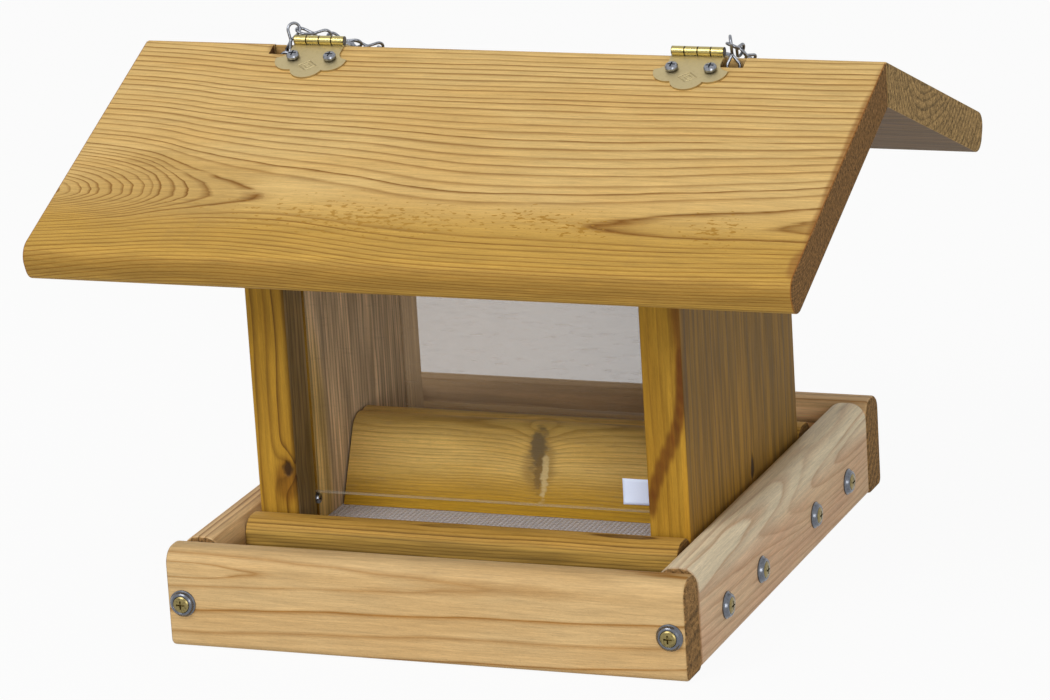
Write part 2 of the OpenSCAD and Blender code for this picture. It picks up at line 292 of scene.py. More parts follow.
def carried(name: str, flat: np.ndarray, place: np.ndarray, along: Point, across: Point,
            middle: Point = (0, 0, 0)) -> bpy.types.Object:
    """Carries an outline along an axis and closes it into a board.

    A point is the middle plus its place along, its outline's first value across and the second
    one up. Where that mirrors the outline, it is read backwards, so that faces point outwards.

    Args:
        name: the piece's name.
        flat: (m, n, 2) outlines, one for each place.
        place: (m,) places along the axis.
        along: the axis.
        across: the way of an outline's first value.
        middle: the point that places and outlines start from.

    Returns:
        The board.
    """
    rings = (np.array(middle) + place[:, None, None] * np.array(along)
             + flat[..., :1] * np.array(across) + flat[..., 1:] * np.array(Z))
    mirrored = np.dot(np.cross(across, Z), along) < 0
    return loft(name, rings[:, ::-1] if mirrored else rings)


# Node trees


@dataclass(frozen=True)
class Waves:
    """Noise: its waves a unit of length, on all axes or on each, how fine and how rough it is,
    and its weight in what it shades or is added to."""

    scale: float | Point
    detail: float = 2.0
    roughness: float = 0.5
    weight: float = 0.0


class Nodes:
    """A node tree in the making; most calls add a node and return its output."""

    def __init__(self, tree: bpy.types.NodeTree) -> None:
        """Empties the tree."""
        self.tree = tree
        tree.nodes.clear()

    def add(self, kind: str, inputs: dict | None = None, **settings: object) -> bpy.types.Node:
        """Adds a node.

        Args:
            kind: the node's type.
            inputs: sockets to link or values to set, by input name or number.
            settings: the node's own properties.

        Returns:
            The node.
        """
        node = self.tree.nodes.new(kind)
        for key, value in settings.items():
            setattr(node, key, value)
        for key, value in (inputs or {}).items():
            if isinstance(value, Socket):
                self.tree.links.new(value, node.inputs[key])
            else:
                node.inputs[key].default_value = value
        return node

    def math(self, operation: str, *values: object, clamp: bool = False) -> Socket:
        """A sum, product or other plain function of its values."""
        inputs = dict(enumerate(values))
        return self.add("ShaderNodeMath", inputs, operation=operation, use_clamp=clamp).outputs[0]

    def vector(self, operation: str, *values: object) -> Socket:
        """A function of vectors; a dot product or length gives a number."""
        node = self.add("ShaderNodeVectorMath", dict(enumerate(values)), operation=operation)
        return node.outputs["Value" if operation in ("DOT_PRODUCT", "LENGTH") else "Vector"]

    def join(self, x: object, y: object, z: object = 0.0) -> Socket:
        """A vector of three numbers."""
        return self.add("ShaderNodeCombineXYZ", {0: x, 1: y, 2: z}).outputs[0]

    def noise(self, where: Socket, waves: Waves) -> Socket:
        """Adds smooth noise.

        Args:
            where: the point.
            waves: the noise.

        Returns:
            A number from 0 to 1, mostly near a half.
        """
        scale = waves.scale
        if isinstance(scale, tuple):
            where, scale = self.vector("MULTIPLY", where, scale), 1.0
        return self.add("ShaderNodeTexNoise", {
            "Vector": where, "Scale": scale, "Detail": waves.detail,
            "Roughness": waves.roughness}).outputs["Fac"]

    def swing(self, value: Socket, reach: float, middle: object = 0.0) -> Socket:
        """Noise as a push to both sides: its distance from a half, times reach, plus middle."""
        return self.math("MULTIPLY_ADD", self.math("SUBTRACT", value, 0.5), reach, middle)

    def level(self, value: Socket, stops: Sequence[tuple[float, float]]) -> Socket:
        """A number by a value, straight between stops.

        Args:
            value: from 0 to 1.
            stops: pairs of value and number.

        Returns:
            The number.
        """
        node = self.add("ShaderNodeValToRGB", {0: value})
        elements = node.color_ramp.elements
        for _ in range(len(stops) - 2):
            elements.new(0.5)
        for element, (position, grey) in zip(elements, stops):
            element.position, element.color = position, (grey, grey, grey, 1.0)
        return node.outputs[0]

    def curve(self, value: Socket, points: Sequence[tuple[float, float]]) -> Socket:
        """A number by a value, on a smooth curve through points.

        Args:
            value: from 0 to 1.
            points: pairs of value and number, both from 0 to 1.

        Returns:
            The number.
        """
        node = self.add("ShaderNodeFloatCurve", {"Value": value})
        line = node.mapping.curves[0]
        for _ in range(len(points) - 2):
            line.points.new(0.5, 0.5)
        for point, place in zip(line.points, points):
            point.location = place
        node.mapping.update()
        return node.outputs[0]

    def mix(self, share: object, first: object, second: object, how: str = "MIX") -> Socket:
        """Two colours mixed by a share from 0 to 1."""
        node = self.add("ShaderNodeMix", {0: share, 6: first, 7: second},
                        data_type="RGBA", blend_type=how)
        return node.outputs[2]

    def shade(self, colour: object, share: Socket) -> Socket:
        """A colour made lighter or darker by a share."""
        plain = colour if isinstance(colour, Socket) else tuple(colour)[:3]
        return self.add("ShaderNodeVectorMath", {0: plain, "Scale": share},
                        operation="SCALE").outputs[0]

    def span(self, value: object, low: float, high: float) -> Socket:
        """0 below low, 1 above high and smooth between; low may be the larger."""
        node = self.add("ShaderNodeMapRange", {"Value": value, "From Min": low, "From Max": high},
                        interpolation_type="SMOOTHSTEP")
        return node.outputs["Result"]

    def bump(self, height: object, depth: float, strength: float = 1.0) -> Socket:
        """A normal from a height of 0 to 1 that stands for depth in millimetres."""
        return self.add("ShaderNodeBump", {"Height": height, "Distance": depth * MM,
                                           "Strength": strength}).outputs["Normal"]

    def shown(self) -> Socket:
        """1 where a surface is seen, in a mirror or through glass too, and 0 where it lights."""
        rays = self.add("ShaderNodeLightPath").outputs
        return self.math("MAXIMUM", rays["Is Camera Ray"],
                         self.math("MAXIMUM", rays["Is Glossy Ray"], rays["Is Transmission Ray"]))


class Recipe(Nodes):
    """One material's node tree."""

    def __init__(self, name: str) -> None:
        """Starts an empty material.

        Args:
            name: the material's name.
        """
        self.material = bpy.data.materials.new(name)
        self.material.use_nodes = True
        super().__init__(self.material.node_tree)

    def place(self) -> Socket:
        """The point on the piece in its own frame, in metres."""
        return self.add("ShaderNodeTexCoord").outputs["Object"]

    def facing(self, axis: Point) -> Socket:
        """How far the surface looks along an axis of the piece's own frame."""
        return self.vector("DOT_PRODUCT", self.add("ShaderNodeTexCoord").outputs["Normal"], axis)

    def finish(self, shader: str, inputs: dict) -> bpy.types.Material:
        """Makes the shader of its inputs and sends it to the output."""
        self.add("ShaderNodeOutputMaterial", {"Surface": self.add(shader, inputs).outputs[0]})
        return self.material


# Wood: noise in waves a millimetre along, across and out of the board

FIBRE = Waves((1 / 22, 1.4, 1.4), 3.0, 0.62, weight=0.62)
PORES = Waves((1 / 4, 2.6, 2.6), 2.0, 0.7, weight=0.5)
STREAK = Waves((1 / 40, 0.42, 0.42), 3.0, 0.6, weight=0.55)
CLOUD = Waves((1 / 90, 1 / 20, 1 / 20), 3.0)
SWAY = Waves((1 / 150, 1 / 48, 1 / 48))
RIPPLE = Waves((1 / 34, 1 / 4, 1 / 4))
FADE = Waves((1 / 60, 1 / 7, 1 / 7), 1.0)
BAND = Waves((1 / 80, 0.15, 0.15))
SPECK = Waves((0.5, 0.5, 0.5), 5.0, 0.85)
FLECK = Waves((0.22, 0.5, 0.2), 2.5, 0.55)
SOFT_EDGE = Waves((0.025, 0.05, 0.05), 3.0)
KNOT_EDGE = Waves((0.175, 0.35, 0.35), 3.0)
SPACING = Waves(1.0, 1.0)

SEED_STEP = 131.0  # how far one seed moves the noise along the board
SWAY_REACH = 3.4  # how far the rings sway, over the board's wander
BEND_FADE = (100.0, 10.0)  # places across the board between which the pith's bend comes in
KNOT_FALL = -0.22  # how fast the push of a knot on the rings dies out
UNEVEN = (0.45, 1.3)  # waves a ring of the uneven spacing, and its reach in rings
LINE_CHANCE = (0.5, 0.6)  # a line's darkness is its ring's chance times this, plus this
LINE_GAPS = (0.12, 0.42)  # noise at which a line is gone, and at which it is whole
CLOUD_EDGE = (0.34, 0.66)  # noise at which the wood is plain, and at which it is warm
LATE_TAKES = 0.25  # how far a late-wood line takes on the wood round it
PATCH_EDGE = (1.15, 0.5)  # distances at which a patch is gone and whole
FLECK_RISE = (0.11, 0.485)  # slope and foot of the noise level over which flecks show
FLECK_EDGE = 0.05  # noise over that at which a fleck is whole
# painted light and shade: one face of a board made lighter or darker for how light falls on it
PAINTED_FACE_FACING = (0.8, 0.98)  # how squarely a face has to look along the axis to take its painted light and shade
PAINTED_FACE_BANDS = (1.14, 0.84)  # its lighter and darker bands
PAINTED_FACE_LINE = 0.66  # its late-wood lines
PAINTED_FACE_STREAK = (1.2, 0.4)  # its brightness is streak noise times this plus this
BAND_EDGE = (0.3, 0.7)  # noise at which a face's painted light and shade is light, and at which it is dark
END_RINGS = ((0.0, 0.66), (0.1, 1.0), (0.65, 0.96), (0.92, 0.56), (1.0, 0.66))  # in a ring
END_SPECK = (6.0, -1.9)  # sawn end grain is speck noise times this plus this
END_FACING = (0.5, 0.85)  # how squarely a face has to look along the board to be end grain
RUB_FACING = (0.02, 0.3)  # and to be a rubbed edge
RUBBED = (138, 84, 34)
WOOD_ROUGH = 0.52
LINE_ROUGH, FIBRE_ROUGH, END_ROUGH = -0.1, 0.2, 0.25  # what each adds to the wood's roughness
PORE_EDGE = (0.6, 0.72)  # noise at which a pore starts, and at which it is whole
LINE_HIGH, FIBRE_HIGH, PORE_DEEP, KNOT_DEEP = 0.16, 0.5, 0.3, 5.0  # shares of the relief
WOOD_RELIEF = 0.26  # millimetres
WOOD_GLOSS = 0.16


@dataclass(frozen=True)
class Spot:
    """A knot, resin pocket or patch: its middle and half sizes (along, across, out).

    `share` is how far it covers the wood, `pull` how far it pushes the rings, `sink` how deep
    it lies and `rag` how ragged its edge is.
    """

    at: Point
    size: Point
    colour: Colour = (62, 38, 18)
    share: float = 0.9
    pull: float = 0.0
    sink: float = 0.0
    rag: float = 1.1


@dataclass(frozen=True)
class Cedar:
    """One board's grain, in millimetres.

    The tree's growth rings are cylinders round a pith line that runs along the board at `pith`
    (across, below the face), and the face shows where it cuts them. Over the board's `reach`,
    two curves of (place, value), both from 0 to 1, turn that line: its depth is multiplied by
    `rise`, and `drift` times `bend` moves it across. Rings are `core[1]` apart out to a radius
    of `core[0]`, and `spacing` apart beyond it. `wander` sways them slowly and `ripple` finely.
    Below the pith line the distance across counts `crowd` times, which brings the rings closer
    together, and the distance out of the face counts `lean` times, so that they slant through
    the edge.

    `early` wood has `warm` clouds and `late` lines, and `shore` (from, to, colour, share) comes
    in across the board. `painted_light_face` (axis, colour, share) is painted light and shade: a
    copy of the wood, lighter on some boards and darker on others, on the face that looks along the
    axis.
    `worn` rubs the ends' edges. Stains lie under the lines and flecks over them,
    `painted_light_tints` are painted light and shade that multiply what is there (over 255 they
    lighten it), and knots lie on top. `seed` gives each board noise of its own.
    """

    name: str
    along: Point
    across: Point
    origin: Point
    reach: float = 414.0
    pith: tuple[float, float] = (0.0, 60.0)
    spacing: float = 5.0
    core: tuple[float, float] = (0.0, 5.0)
    rise: tuple[tuple[float, float], ...] = ((0.0, 1.0), (1.0, 1.0))
    drift: float = 0.0
    bend: tuple[tuple[float, float], ...] = ((0.0, 0.0), (1.0, 1.0))
    wander: float = 3.0
    ripple: float = 0.9
    crowd: float = 1.0
    lean: float = 1.0
    early: Colour = (206, 172, 114)
    late: Colour = (136, 88, 22)
    warm: Colour = (200, 162, 98)
    warm_share: float = 0.6
    line_share: float = 0.95
    line_width: float = 0.2
    end: Colour = (142, 108, 66)
    worn: float = 0.0
    painted_light_face: tuple[Point, Colour, float] | None = None
    shore: tuple[float, float, Colour, float] | None = None
    flecks: tuple[Spot, ...] = ()
    knots: tuple[Spot, ...] = ()
    stains: tuple[Spot, ...] = ()
    painted_light_tints: tuple[Spot, ...] = ()
    seed: float = 0.0

    def make(self) -> bpy.types.Material:
        """Builds the board's material."""
        return Timber(self).make()


class Timber:
    """The material of one board's grain, layer by layer."""

    def __init__(self, board: Cedar) -> None:
        """Finds the point's places along, across and out of the board, and its ring.

        Args:
            board: the board's grain.
        """
        self.board = board
        self.r = r = Recipe(f"cedar_{board.name}")
        away = r.vector("SUBTRACT", r.place(), tuple(v * MM for v in board.origin))
        self.spot = [r.vector("DOT_PRODUCT", away, tuple(float(v) / MM for v in axis)) for axis in
                     (board.along, board.across, np.cross(board.along, board.across))]
        self.where = r.join(*self.spot)
        self.seat = r.join(r.math("ADD", self.spot[0], board.seed * SEED_STEP), *self.spot[1:])
        self.part, self.line = self.late_wood(self.ring(self.radius()))

    def make(self) -> bpy.types.Material:
        """Lays the layers over each other.

        Returns:
            A rough wood whose colour, sheen and relief follow the rings.
        """
        r, board = self.r, self.board
        fibre, pores, streak = (r.noise(self.seat, w) for w in (FIBRE, PORES, STREAK))
        colour = self.ground()
        late = r.mix(LATE_TAKES, tone(*board.late), colour, "MULTIPLY")
        colour = r.mix(r.math("MULTIPLY", self.line, board.line_share), colour, late)
        for layer, waves in ((fibre, FIBRE), (pores, PORES), (streak, STREAK)):
            colour = r.shade(colour, r.swing(layer, waves.weight, 1.0))
        for fleck in board.flecks:
            colour = r.mix(self.flecks(fleck), colour, tone(*fleck.colour))
        # painted light and shade on the face that looks along an axis, then the end grain
        colour, ends = self.end_grain(self.paint_face_light(colour, streak))
        # painted light and shade: patches that multiply the colour, darker under 255 and lighter
        # over it
        for light_patch in board.painted_light_tints:
            relit = r.mix(1.0, colour, tone(*light_patch.colour), "MULTIPLY")
            colour = r.mix(self.patch(light_patch, SOFT_EDGE), colour, relit)
        height = r.math("MULTIPLY_ADD", self.line, LINE_HIGH, r.math("MULTIPLY", fibre, FIBRE_HIGH))
        height = r.math("SUBTRACT", height,
                        r.math("MULTIPLY", r.span(pores, *PORE_EDGE), PORE_DEEP))
        for knot in board.knots:
            share = self.patch(knot, KNOT_EDGE)
            colour = r.mix(share, colour, tone(*knot.colour))
            height = r.math("SUBTRACT", height, r.math("MULTIPLY", share, knot.sink * KNOT_DEEP))
        rough = r.math("MULTIPLY_ADD", fibre, FIBRE_ROUGH, WOOD_ROUGH)
        rough = r.math("MULTIPLY_ADD", self.line, LINE_ROUGH, rough)
        rough = r.math("MULTIPLY_ADD", ends, END_ROUGH, rough, clamp=True)
        return r.finish("ShaderNodeBsdfPrincipled", {
            "Base Color": colour, "Roughness": rough, "Specular IOR Level": WOOD_GLOSS,
            "Normal": r.bump(height, WOOD_RELIEF)})

    def radius(self) -> Socket:
        """The distance from the pith line.

        It is the root of the squares of the distance across, swayed and crowded, and of the
        depth, plus the ripple and the push of each knot, which falls off as a bell curve.

        Returns:
            The radius in millimetres.
        """
        r, board = self.r, self.board
        place = r.math("MULTIPLY_ADD", self.spot[0], 1 / board.reach, 0.5, clamp=True)
        middle = r.math("MULTIPLY_ADD", r.curve(place, board.bend), board.drift,
                        board.pith[0] - board.drift / 2)
        middle = r.math("MULTIPLY", middle, r.span(self.spot[1], *BEND_FADE))
        swayed = r.swing(r.noise(self.seat, SWAY), board.wander * SWAY_REACH, self.spot[1])
        across = r.math("SUBTRACT", swayed, middle)
        across = r.math("MULTIPLY_ADD", r.math("MINIMUM", across, 0.0), board.crowd - 1.0, across)
        below = r.math("MULTIPLY_ADD", r.curve(place, board.rise), board.pith[1],
                       r.math("MULTIPLY", self.spot[2], board.lean))
        radius = r.math("SQRT", r.math("ADD", r.math("MULTIPLY", across, across),
                                       r.math("MULTIPLY", below, below)))
        radius = r.swing(r.noise(self.seat, RIPPLE), board.ripple, radius)
        for knot in board.knots:
            near = self.near(knot)
            bell = r.math("EXPONENT", r.math("MULTIPLY", r.math("MULTIPLY", near, near), KNOT_FALL))
            radius = r.math("MULTIPLY_ADD", bell, knot.pull, radius)
        return radius

    def ring(self, radius: Socket) -> Socket:
        """The ring's number, whose fraction is the place within it.

        It is the smaller of the radius and the core's over the core's spacing, plus what is
        left of the radius over the outer spacing, shifted by noise of its own.

        Args:
            radius: the distance from the pith line.

        Returns:
            The number of rings out to the point.
        """
        r, (reach, tight) = self.r, self.board.core
        inner = r.math("MULTIPLY", r.math("MINIMUM", radius, reach), 1 / tight)
        outer = r.math("MAXIMUM", r.math("SUBTRACT", radius, reach), 0.0)
        ring = r.math("MULTIPLY_ADD", outer, 1 / self.board.spacing, inner)
        often, shift = UNEVEN
        uneven = r.noise(r.join(r.math("MULTIPLY", ring, often), self.board.seed), SPACING)
        return r.swing(uneven, shift, ring)

    def late_wood(self, ring: Socket) -> tuple[Socket, Socket]:
        """The dark line at each ring's outer side, of uneven darkness and with gaps.

        Args:
            ring: the ring's number.

        Returns:
            The place within the ring, and how much late wood there is.
        """
        r, thin = self.r, self.board.line_width
        part = r.math("FRACT", ring)
        chance = r.add("ShaderNodeTexWhiteNoise", {"W": r.math("FLOOR", ring)},
                       noise_dimensions="1D").outputs["Value"]
        # the last line's fall, plain early wood, and then the slow rise to this ring's line
        line = r.level(part, [(0.0, 0.4), (0.07, 0.0), (1 - 2.4 * thin, 0.1), (1 - thin, 0.62),
                              (0.95, 1.0), (1.0, 0.4)])
        line = r.math("MULTIPLY", line, r.math("MULTIPLY_ADD", chance, *LINE_CHANCE))
        whole = r.span(r.noise(self.seat, FADE), *LINE_GAPS)
        return part, r.math("MULTIPLY", line, whole, clamp=True)

    def near(self, patch: Spot) -> Socket:
        """Distance from a patch's middle, where 1 is its edge."""
        away = self.r.vector("SUBTRACT", self.where, patch.at)
        return self.r.vector("LENGTH", self.r.vector("DIVIDE", away, patch.size))

    def patch(self, patch: Spot, waves: Waves) -> Socket:
        """How strong a patch with a ragged edge is at the point."""
        edge = self.r.swing(self.r.noise(self.where, waves), patch.rag, self.near(patch))
        return self.r.math("MULTIPLY", self.r.span(edge, *PATCH_EDGE), patch.share)

    def flecks(self, patch: Spot) -> Socket:
        """Short flecks within a patch: noise over a level that rises towards its edge.

        Args:
            patch: where they are.

        Returns:
            How strong a fleck is at the point.
        """
        level = self.r.math("MULTIPLY_ADD", self.near(patch), *FLECK_RISE)
        over = self.r.math("SUBTRACT", self.r.noise(self.where, FLECK), level)
        return self.r.math("MULTIPLY", self.r.span(over, 0.0, FLECK_EDGE), patch.share)

    def ground(self) -> Socket:
        """The wood under the late-wood lines.

        Returns:
            The early wood's colour with its warm clouds, its shore and its stains.
        """
        r, board = self.r, self.board
        warm = r.math("MULTIPLY", r.span(r.noise(self.seat, CLOUD), *CLOUD_EDGE), board.warm_share)
        colour = r.mix(warm, tone(*board.early), tone(*board.warm))
        if board.shore is not None:
            low, high, gold, share = board.shore
            inside = r.math("MULTIPLY", r.span(self.spot[1], low, high), share)
            colour = r.mix(inside, colour, tone(*gold))
        for stain in board.stains:
            colour = r.mix(self.patch(stain, SOFT_EDGE), colour, tone(*stain.colour))
        return colour

    def paint_face_light(self, colour: Socket, streak: Socket) -> Socket:
        """Painted light and shade on the face that looks along the axis, if the board has one.

        Args:
            colour: the wood so far.
            streak: the streak noise.

        Returns:
            The colour, with a banded, lined and streaked copy, lighter on some boards and darker
            on others, painted on the face that looks along the axis.
        """
        if self.board.painted_light_face is None:
            return colour
        r, (axis, grey, share) = self.r, self.board.painted_light_face
        light, dark, lined = (tone(*(k * v for v in grey)) for k in (*PAINTED_FACE_BANDS, PAINTED_FACE_LINE))
        plain = r.mix(r.span(r.noise(self.seat, BAND), *BAND_EDGE), light, dark)
        face = r.shade(r.mix(self.line, plain, lined),
                       r.math("MULTIPLY_ADD", streak, *PAINTED_FACE_STREAK))
        return r.mix(r.math("MULTIPLY", r.span(r.facing(axis), *PAINTED_FACE_FACING), share), colour, face)

    def end_grain(self, colour: Socket) -> tuple[Socket, Socket]:
        """Darker sawn end grain where the face looks along the board, worn at its edge.

        Args:
            colour: the wood so far.

        Returns:
            The colour with its ends, and the share of end grain.
        """
        r, board = self.r, self.board
        facing = r.math("ABSOLUTE", r.facing(board.along))
        speck = r.math("MULTIPLY_ADD", r.noise(self.seat, SPECK), *END_SPECK)
        sawn = r.shade(tone(*board.end), r.math("MULTIPLY", r.level(self.part, END_RINGS), speck))
        rub = r.math("MULTIPLY", r.span(facing, *RUB_FACING), board.worn)
        colour = r.mix(rub, colour, tone(*RUBBED))
        ends = r.span(facing, *END_FACING)
        return r.mix(ends, colour, sawn), ends


# Other finishes: noise in waves a metre


@dataclass(frozen=True)
class Metal:
    """A plated metal: its colour, how rough it is, and how uneven its sheen."""

    name: str
    colour: Colour
    rough: float = 0.3
    grime: Colour = (90, 88, 84)
    grime_share: float = 0.3
    pit: float = 0.25
    metallic: float = 1.0
    blotch: Waves = Waves(900.0, 3.0, 0.6)
    scratch: Waves = Waves(4200.0)
    grime_edge: tuple[float, float] = (0.45, 0.7)
    uneven: float = 0.24
    relief: float = 0.04

    def make(self) -> bpy.types.Material:
        """Builds the metal.

        Returns:
            A metal with blotchy sheen and fine scratches.
        """
        r = Recipe(self.name)
        where = r.place()
        blotch = r.noise(where, self.blotch)
        dirty = r.math("MULTIPLY", r.span(blotch, *self.grime_edge), self.grime_share)
        return r.finish("ShaderNodeBsdfPrincipled", {
            "Base Color": r.mix(dirty, tone(*self.colour), tone(*self.grime)),
            "Metallic": self.metallic,
            "Roughness": r.math("MULTIPLY_ADD", blotch, self.uneven, self.rough - self.uneven / 3),
            "Normal": r.bump(r.noise(where, self.scratch), self.relief, self.pit)})


@dataclass(frozen=True)
class HingeBrass:
    """Brass plate: satin leaves with a pressed diamond, and polished barrels."""

    satin: Colour = (188, 172, 130)
    polished: Colour = (174, 160, 104)
    tarnish: Colour = (150, 130, 84)
    tarnish_share: float = 0.2
    tarnish_edge: tuple[float, float] = (0.5, 0.75)
    blotch: Waves = Waves(520.0, 4.0, 0.6)
    scratch: Waves = Waves(2600.0, weight=0.14)
    barrel_edge: tuple[float, float] = (2.85, 2.55)
    knuckle: float = 28.7 / 4
    # painted shade: a dark line for the gap at each knuckle's end
    painted_gap_shade: Colour = (58, 46, 20)
    painted_gap_edge: tuple[float, float] = (0.48, 0.24)
    diamond: tuple[float, float] = (4.9, 4.1)
    diamond_s: float = 20.1
    diamond_lines: tuple[tuple[float, float], ...] = ((1.0, 0.16), (0.42, 0.13))
    satin_rough: float = 0.36
    polish: float = -0.26
    uneven: float = 0.16
    relief: float = 0.6

    def make(self) -> bpy.types.Material:
        """Builds the brass.

        Returns:
            A metal that is polished within a barrel's radius of the hinge axis, with painted
            shade for the gap at each knuckle's end.
        """
        r = Recipe("hinge_brass")
        where = r.place()
        axes = r.add("ShaderNodeSeparateXYZ", {0: where}).outputs
        x = r.math("SUBTRACT", r.math("ABSOLUTE", axes[0]), HINGE_X * MM)
        up = r.math("SUBTRACT", axes[2], AXIS_Z * MM)
        off = r.math("SQRT", r.math("ADD", r.math("MULTIPLY", axes[1], axes[1]),
                                    r.math("MULTIPLY", up, up)))
        barrel = r.span(off, *(v * MM for v in self.barrel_edge))
        blotch = r.noise(where, self.blotch)
        colour = r.mix(barrel, tone(*self.satin), tone(*self.polished))
        dull = r.math("MULTIPLY", r.span(blotch, *self.tarnish_edge), self.tarnish_share)
        colour = r.mix(dull, colour, tone(*self.tarnish))
        # painted shade for the gaps between the knuckles, on the barrel only
        painted_gap_shade = r.span(r.math("PINGPONG", x, self.knuckle * MM / 2),
                      *(v * MM for v in self.painted_gap_edge))
        colour = r.mix(r.math("MULTIPLY", painted_gap_shade, barrel), colour, tone(*self.painted_gap_shade))
        rough = r.math("MULTIPLY_ADD", blotch, self.uneven, self.satin_rough)
        height = r.math("MULTIPLY_ADD", r.noise(where, self.scratch), self.scratch.weight,
                        self._diamond(r, x, axes[1]))
        return r.finish("ShaderNodeBsdfPrincipled", {
            "Base Color": colour, "Metallic": 1.0,
            "Roughness": r.math("MULTIPLY_ADD", barrel, self.polish, rough),
            "Normal": r.bump(height, self.relief)})

    def _diamond(self, r: Recipe, x: Socket, y: Socket) -> Socket:
        """The pressed diamond: nested lines where |x| / a + |s| / b is 1 and less.

        Args:
            r: the material's recipe.
            x: distance from the leaf's middle, in metres.
            y: distance from the ridge, in metres.

        Returns:
            A height from 0 to 1, low on the lines.
        """
        down = r.math("SUBTRACT", r.math("MULTIPLY", r.math("ABSOLUTE", y), 1 / SLOPE_COS),
                      self.diamond_s * MM)
        reach = r.math("ADD", *(r.math("MULTIPLY", r.math("ABSOLUTE", way), 1 / (half * MM))
                                for way, half in zip((x, down), self.diamond)))
        return r.math("MULTIPLY", *(r.span(r.math("ABSOLUTE", r.math("SUBTRACT", reach, at)),
                                           0.0, width) for at, width in self.diamond_lines))


@dataclass(frozen=True)
class ClearSheet:
    """Thin clear plastic: mostly see-through, with a smoky body and frosted sawn edges."""

    name: str
    body: Colour = (150, 144, 134)
    edge: Colour = (200, 198, 184)
    haze: float = 0.015
    gloss: float = 0.06
    cut_z: tuple[float, float] = (54.5, 226.67)
    cut_edge: tuple[float, float] = (1.0, 0.5)
    cut_haze: float = 0.2
    cut_rough: float = 0.3
    rough: float = 0.06
    wipe: Waves = Waves((60.0, 60.0, 900.0), 4.0, 0.7, weight=0.1)
    wipe_edge: tuple[float, float] = (0.58, 0.7)

    def make(self) -> bpy.types.Material:
        """Builds the plastic.

        Returns:
            A see-through gloss sheet whose lower and upper edges are cloudy.
        """
        r = Recipe(self.name)
        where = r.place()
        height = r.add("ShaderNodeSeparateXYZ", {0: where}).outputs[2]
        low, high = self.cut_z
        cut = r.math("MAXIMUM", r.span(height, *((low + v) * MM for v in self.cut_edge)),
                     r.span(height, *((high - v) * MM for v in self.cut_edge)))
        scuff = r.math("MULTIPLY", r.span(r.noise(where, self.wipe), *self.wipe_edge),
                       self.wipe.weight)
        clear = r.math("MULTIPLY_ADD", cut, self.cut_haze, self.haze)
        return r.finish("ShaderNodeBsdfPrincipled", {
            "Base Color": r.mix(cut, tone(*self.body), tone(*self.edge)),
            "Roughness": r.math("MULTIPLY_ADD", cut, self.cut_rough,
                                r.math("ADD", scuff, self.rough)),
            "Alpha": r.math("ADD", clear, scuff), "Specular IOR Level": self.gloss})


@dataclass(frozen=True)
class Paper:
    """Blank white label paper with faint fibres and a slight cool painted glow, which lifts it in
    shade.
    """

    dull: Colour = (226, 236, 255)
    bright: Colour = (238, 246, 255)
    fibre: Waves = Waves(2400.0, 4.0, 0.7)
    fibre_edge: tuple[float, float] = (0.3, 0.7)
    rough: float = 0.6
    relief: float = 0.03
    # painted light: the paper glows faintly, though it is no lamp
    glow: Colour = (120, 160, 255)
    painted_glow_strength: float = 0.12

    def make(self) -> bpy.types.Material:
        """Builds the paper.

        Returns:
            A rough white with faint fibres.
        """
        r = Recipe("paper_label")
        fibre = r.noise(r.place(), self.fibre)
        return r.finish("ShaderNodeBsdfPrincipled", {
            "Base Color": r.mix(r.span(fibre, *self.fibre_edge), tone(*self.dull),
                                tone(*self.bright)),
            "Roughness": self.rough, "Normal": r.bump(fibre, self.relief),
            "Emission Color": tone(*self.glow), "Emission Strength": self.painted_glow_strength})


@dataclass(frozen=True)
class StudioFloor:
    """A white floor that shows near white to the camera and keeps a soft shadow."""

    dark: Colour = (196, 196, 194)
    light: Colour = (202, 202, 200)
    speckle: Waves = Waves(40.0)
    glow_share: float = 0.94

    def make(self) -> bpy.types.Material:
        """Builds the floor's material.

        Returns:
            A matt white that takes shadows, mostly covered by a plain glow where it is seen.
        """
        r = Recipe("studio_floor")
        speckle = r.noise(r.place(), self.speckle)
        plain = r.add("ShaderNodeBsdfDiffuse", {
            "Color": r.mix(speckle, tone(*self.dark), tone(*self.light))})
        glow = r.add("ShaderNodeEmission", {"Color": (1, 1, 1, 1), "Strength": 1.0})
        return r.finish("ShaderNodeMixShader", {
            0: r.math("MULTIPLY", r.shown(), self.glow_share),
            1: plain.outputs[0], 2: glow.outputs[0]})


# Sub-assemblies


@dataclass
class Dresser:
    """Puts finished pieces on their bodies and hides the nodes that they replace."""

    count: int = 0

    def put(self, piece: bpy.types.Object, finish: bpy.types.Material, body: Body, slot: Slot,
            *nodes: str) -> None:
        """Finishes one piece.

        Args:
            piece: the new piece.
            finish: its material.
            body: the body it rides on.
            slot: the record's slot; not used.
            nodes: CAD nodes that it stands for.
        """
        piece.data.materials.append(finish)
        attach(piece, body.value)
        if nodes:
            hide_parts(*nodes)
        self.count += 1
        log.info("%s: %d faces, on %s", piece.name, len(piece.data.polygons), body.value)

    def repaint(self, node: str, finish: bpy.types.Material) -> None:
        """Finishes a CAD node that keeps its solid.

        Args:
            node: the node's name.
            finish: its material.
        """
        slots = bpy.data.objects[node].data.materials
        slots.clear()
        slots.append(finish)
        log.info("%s keeps its solid, finished in %s", node, finish.name)


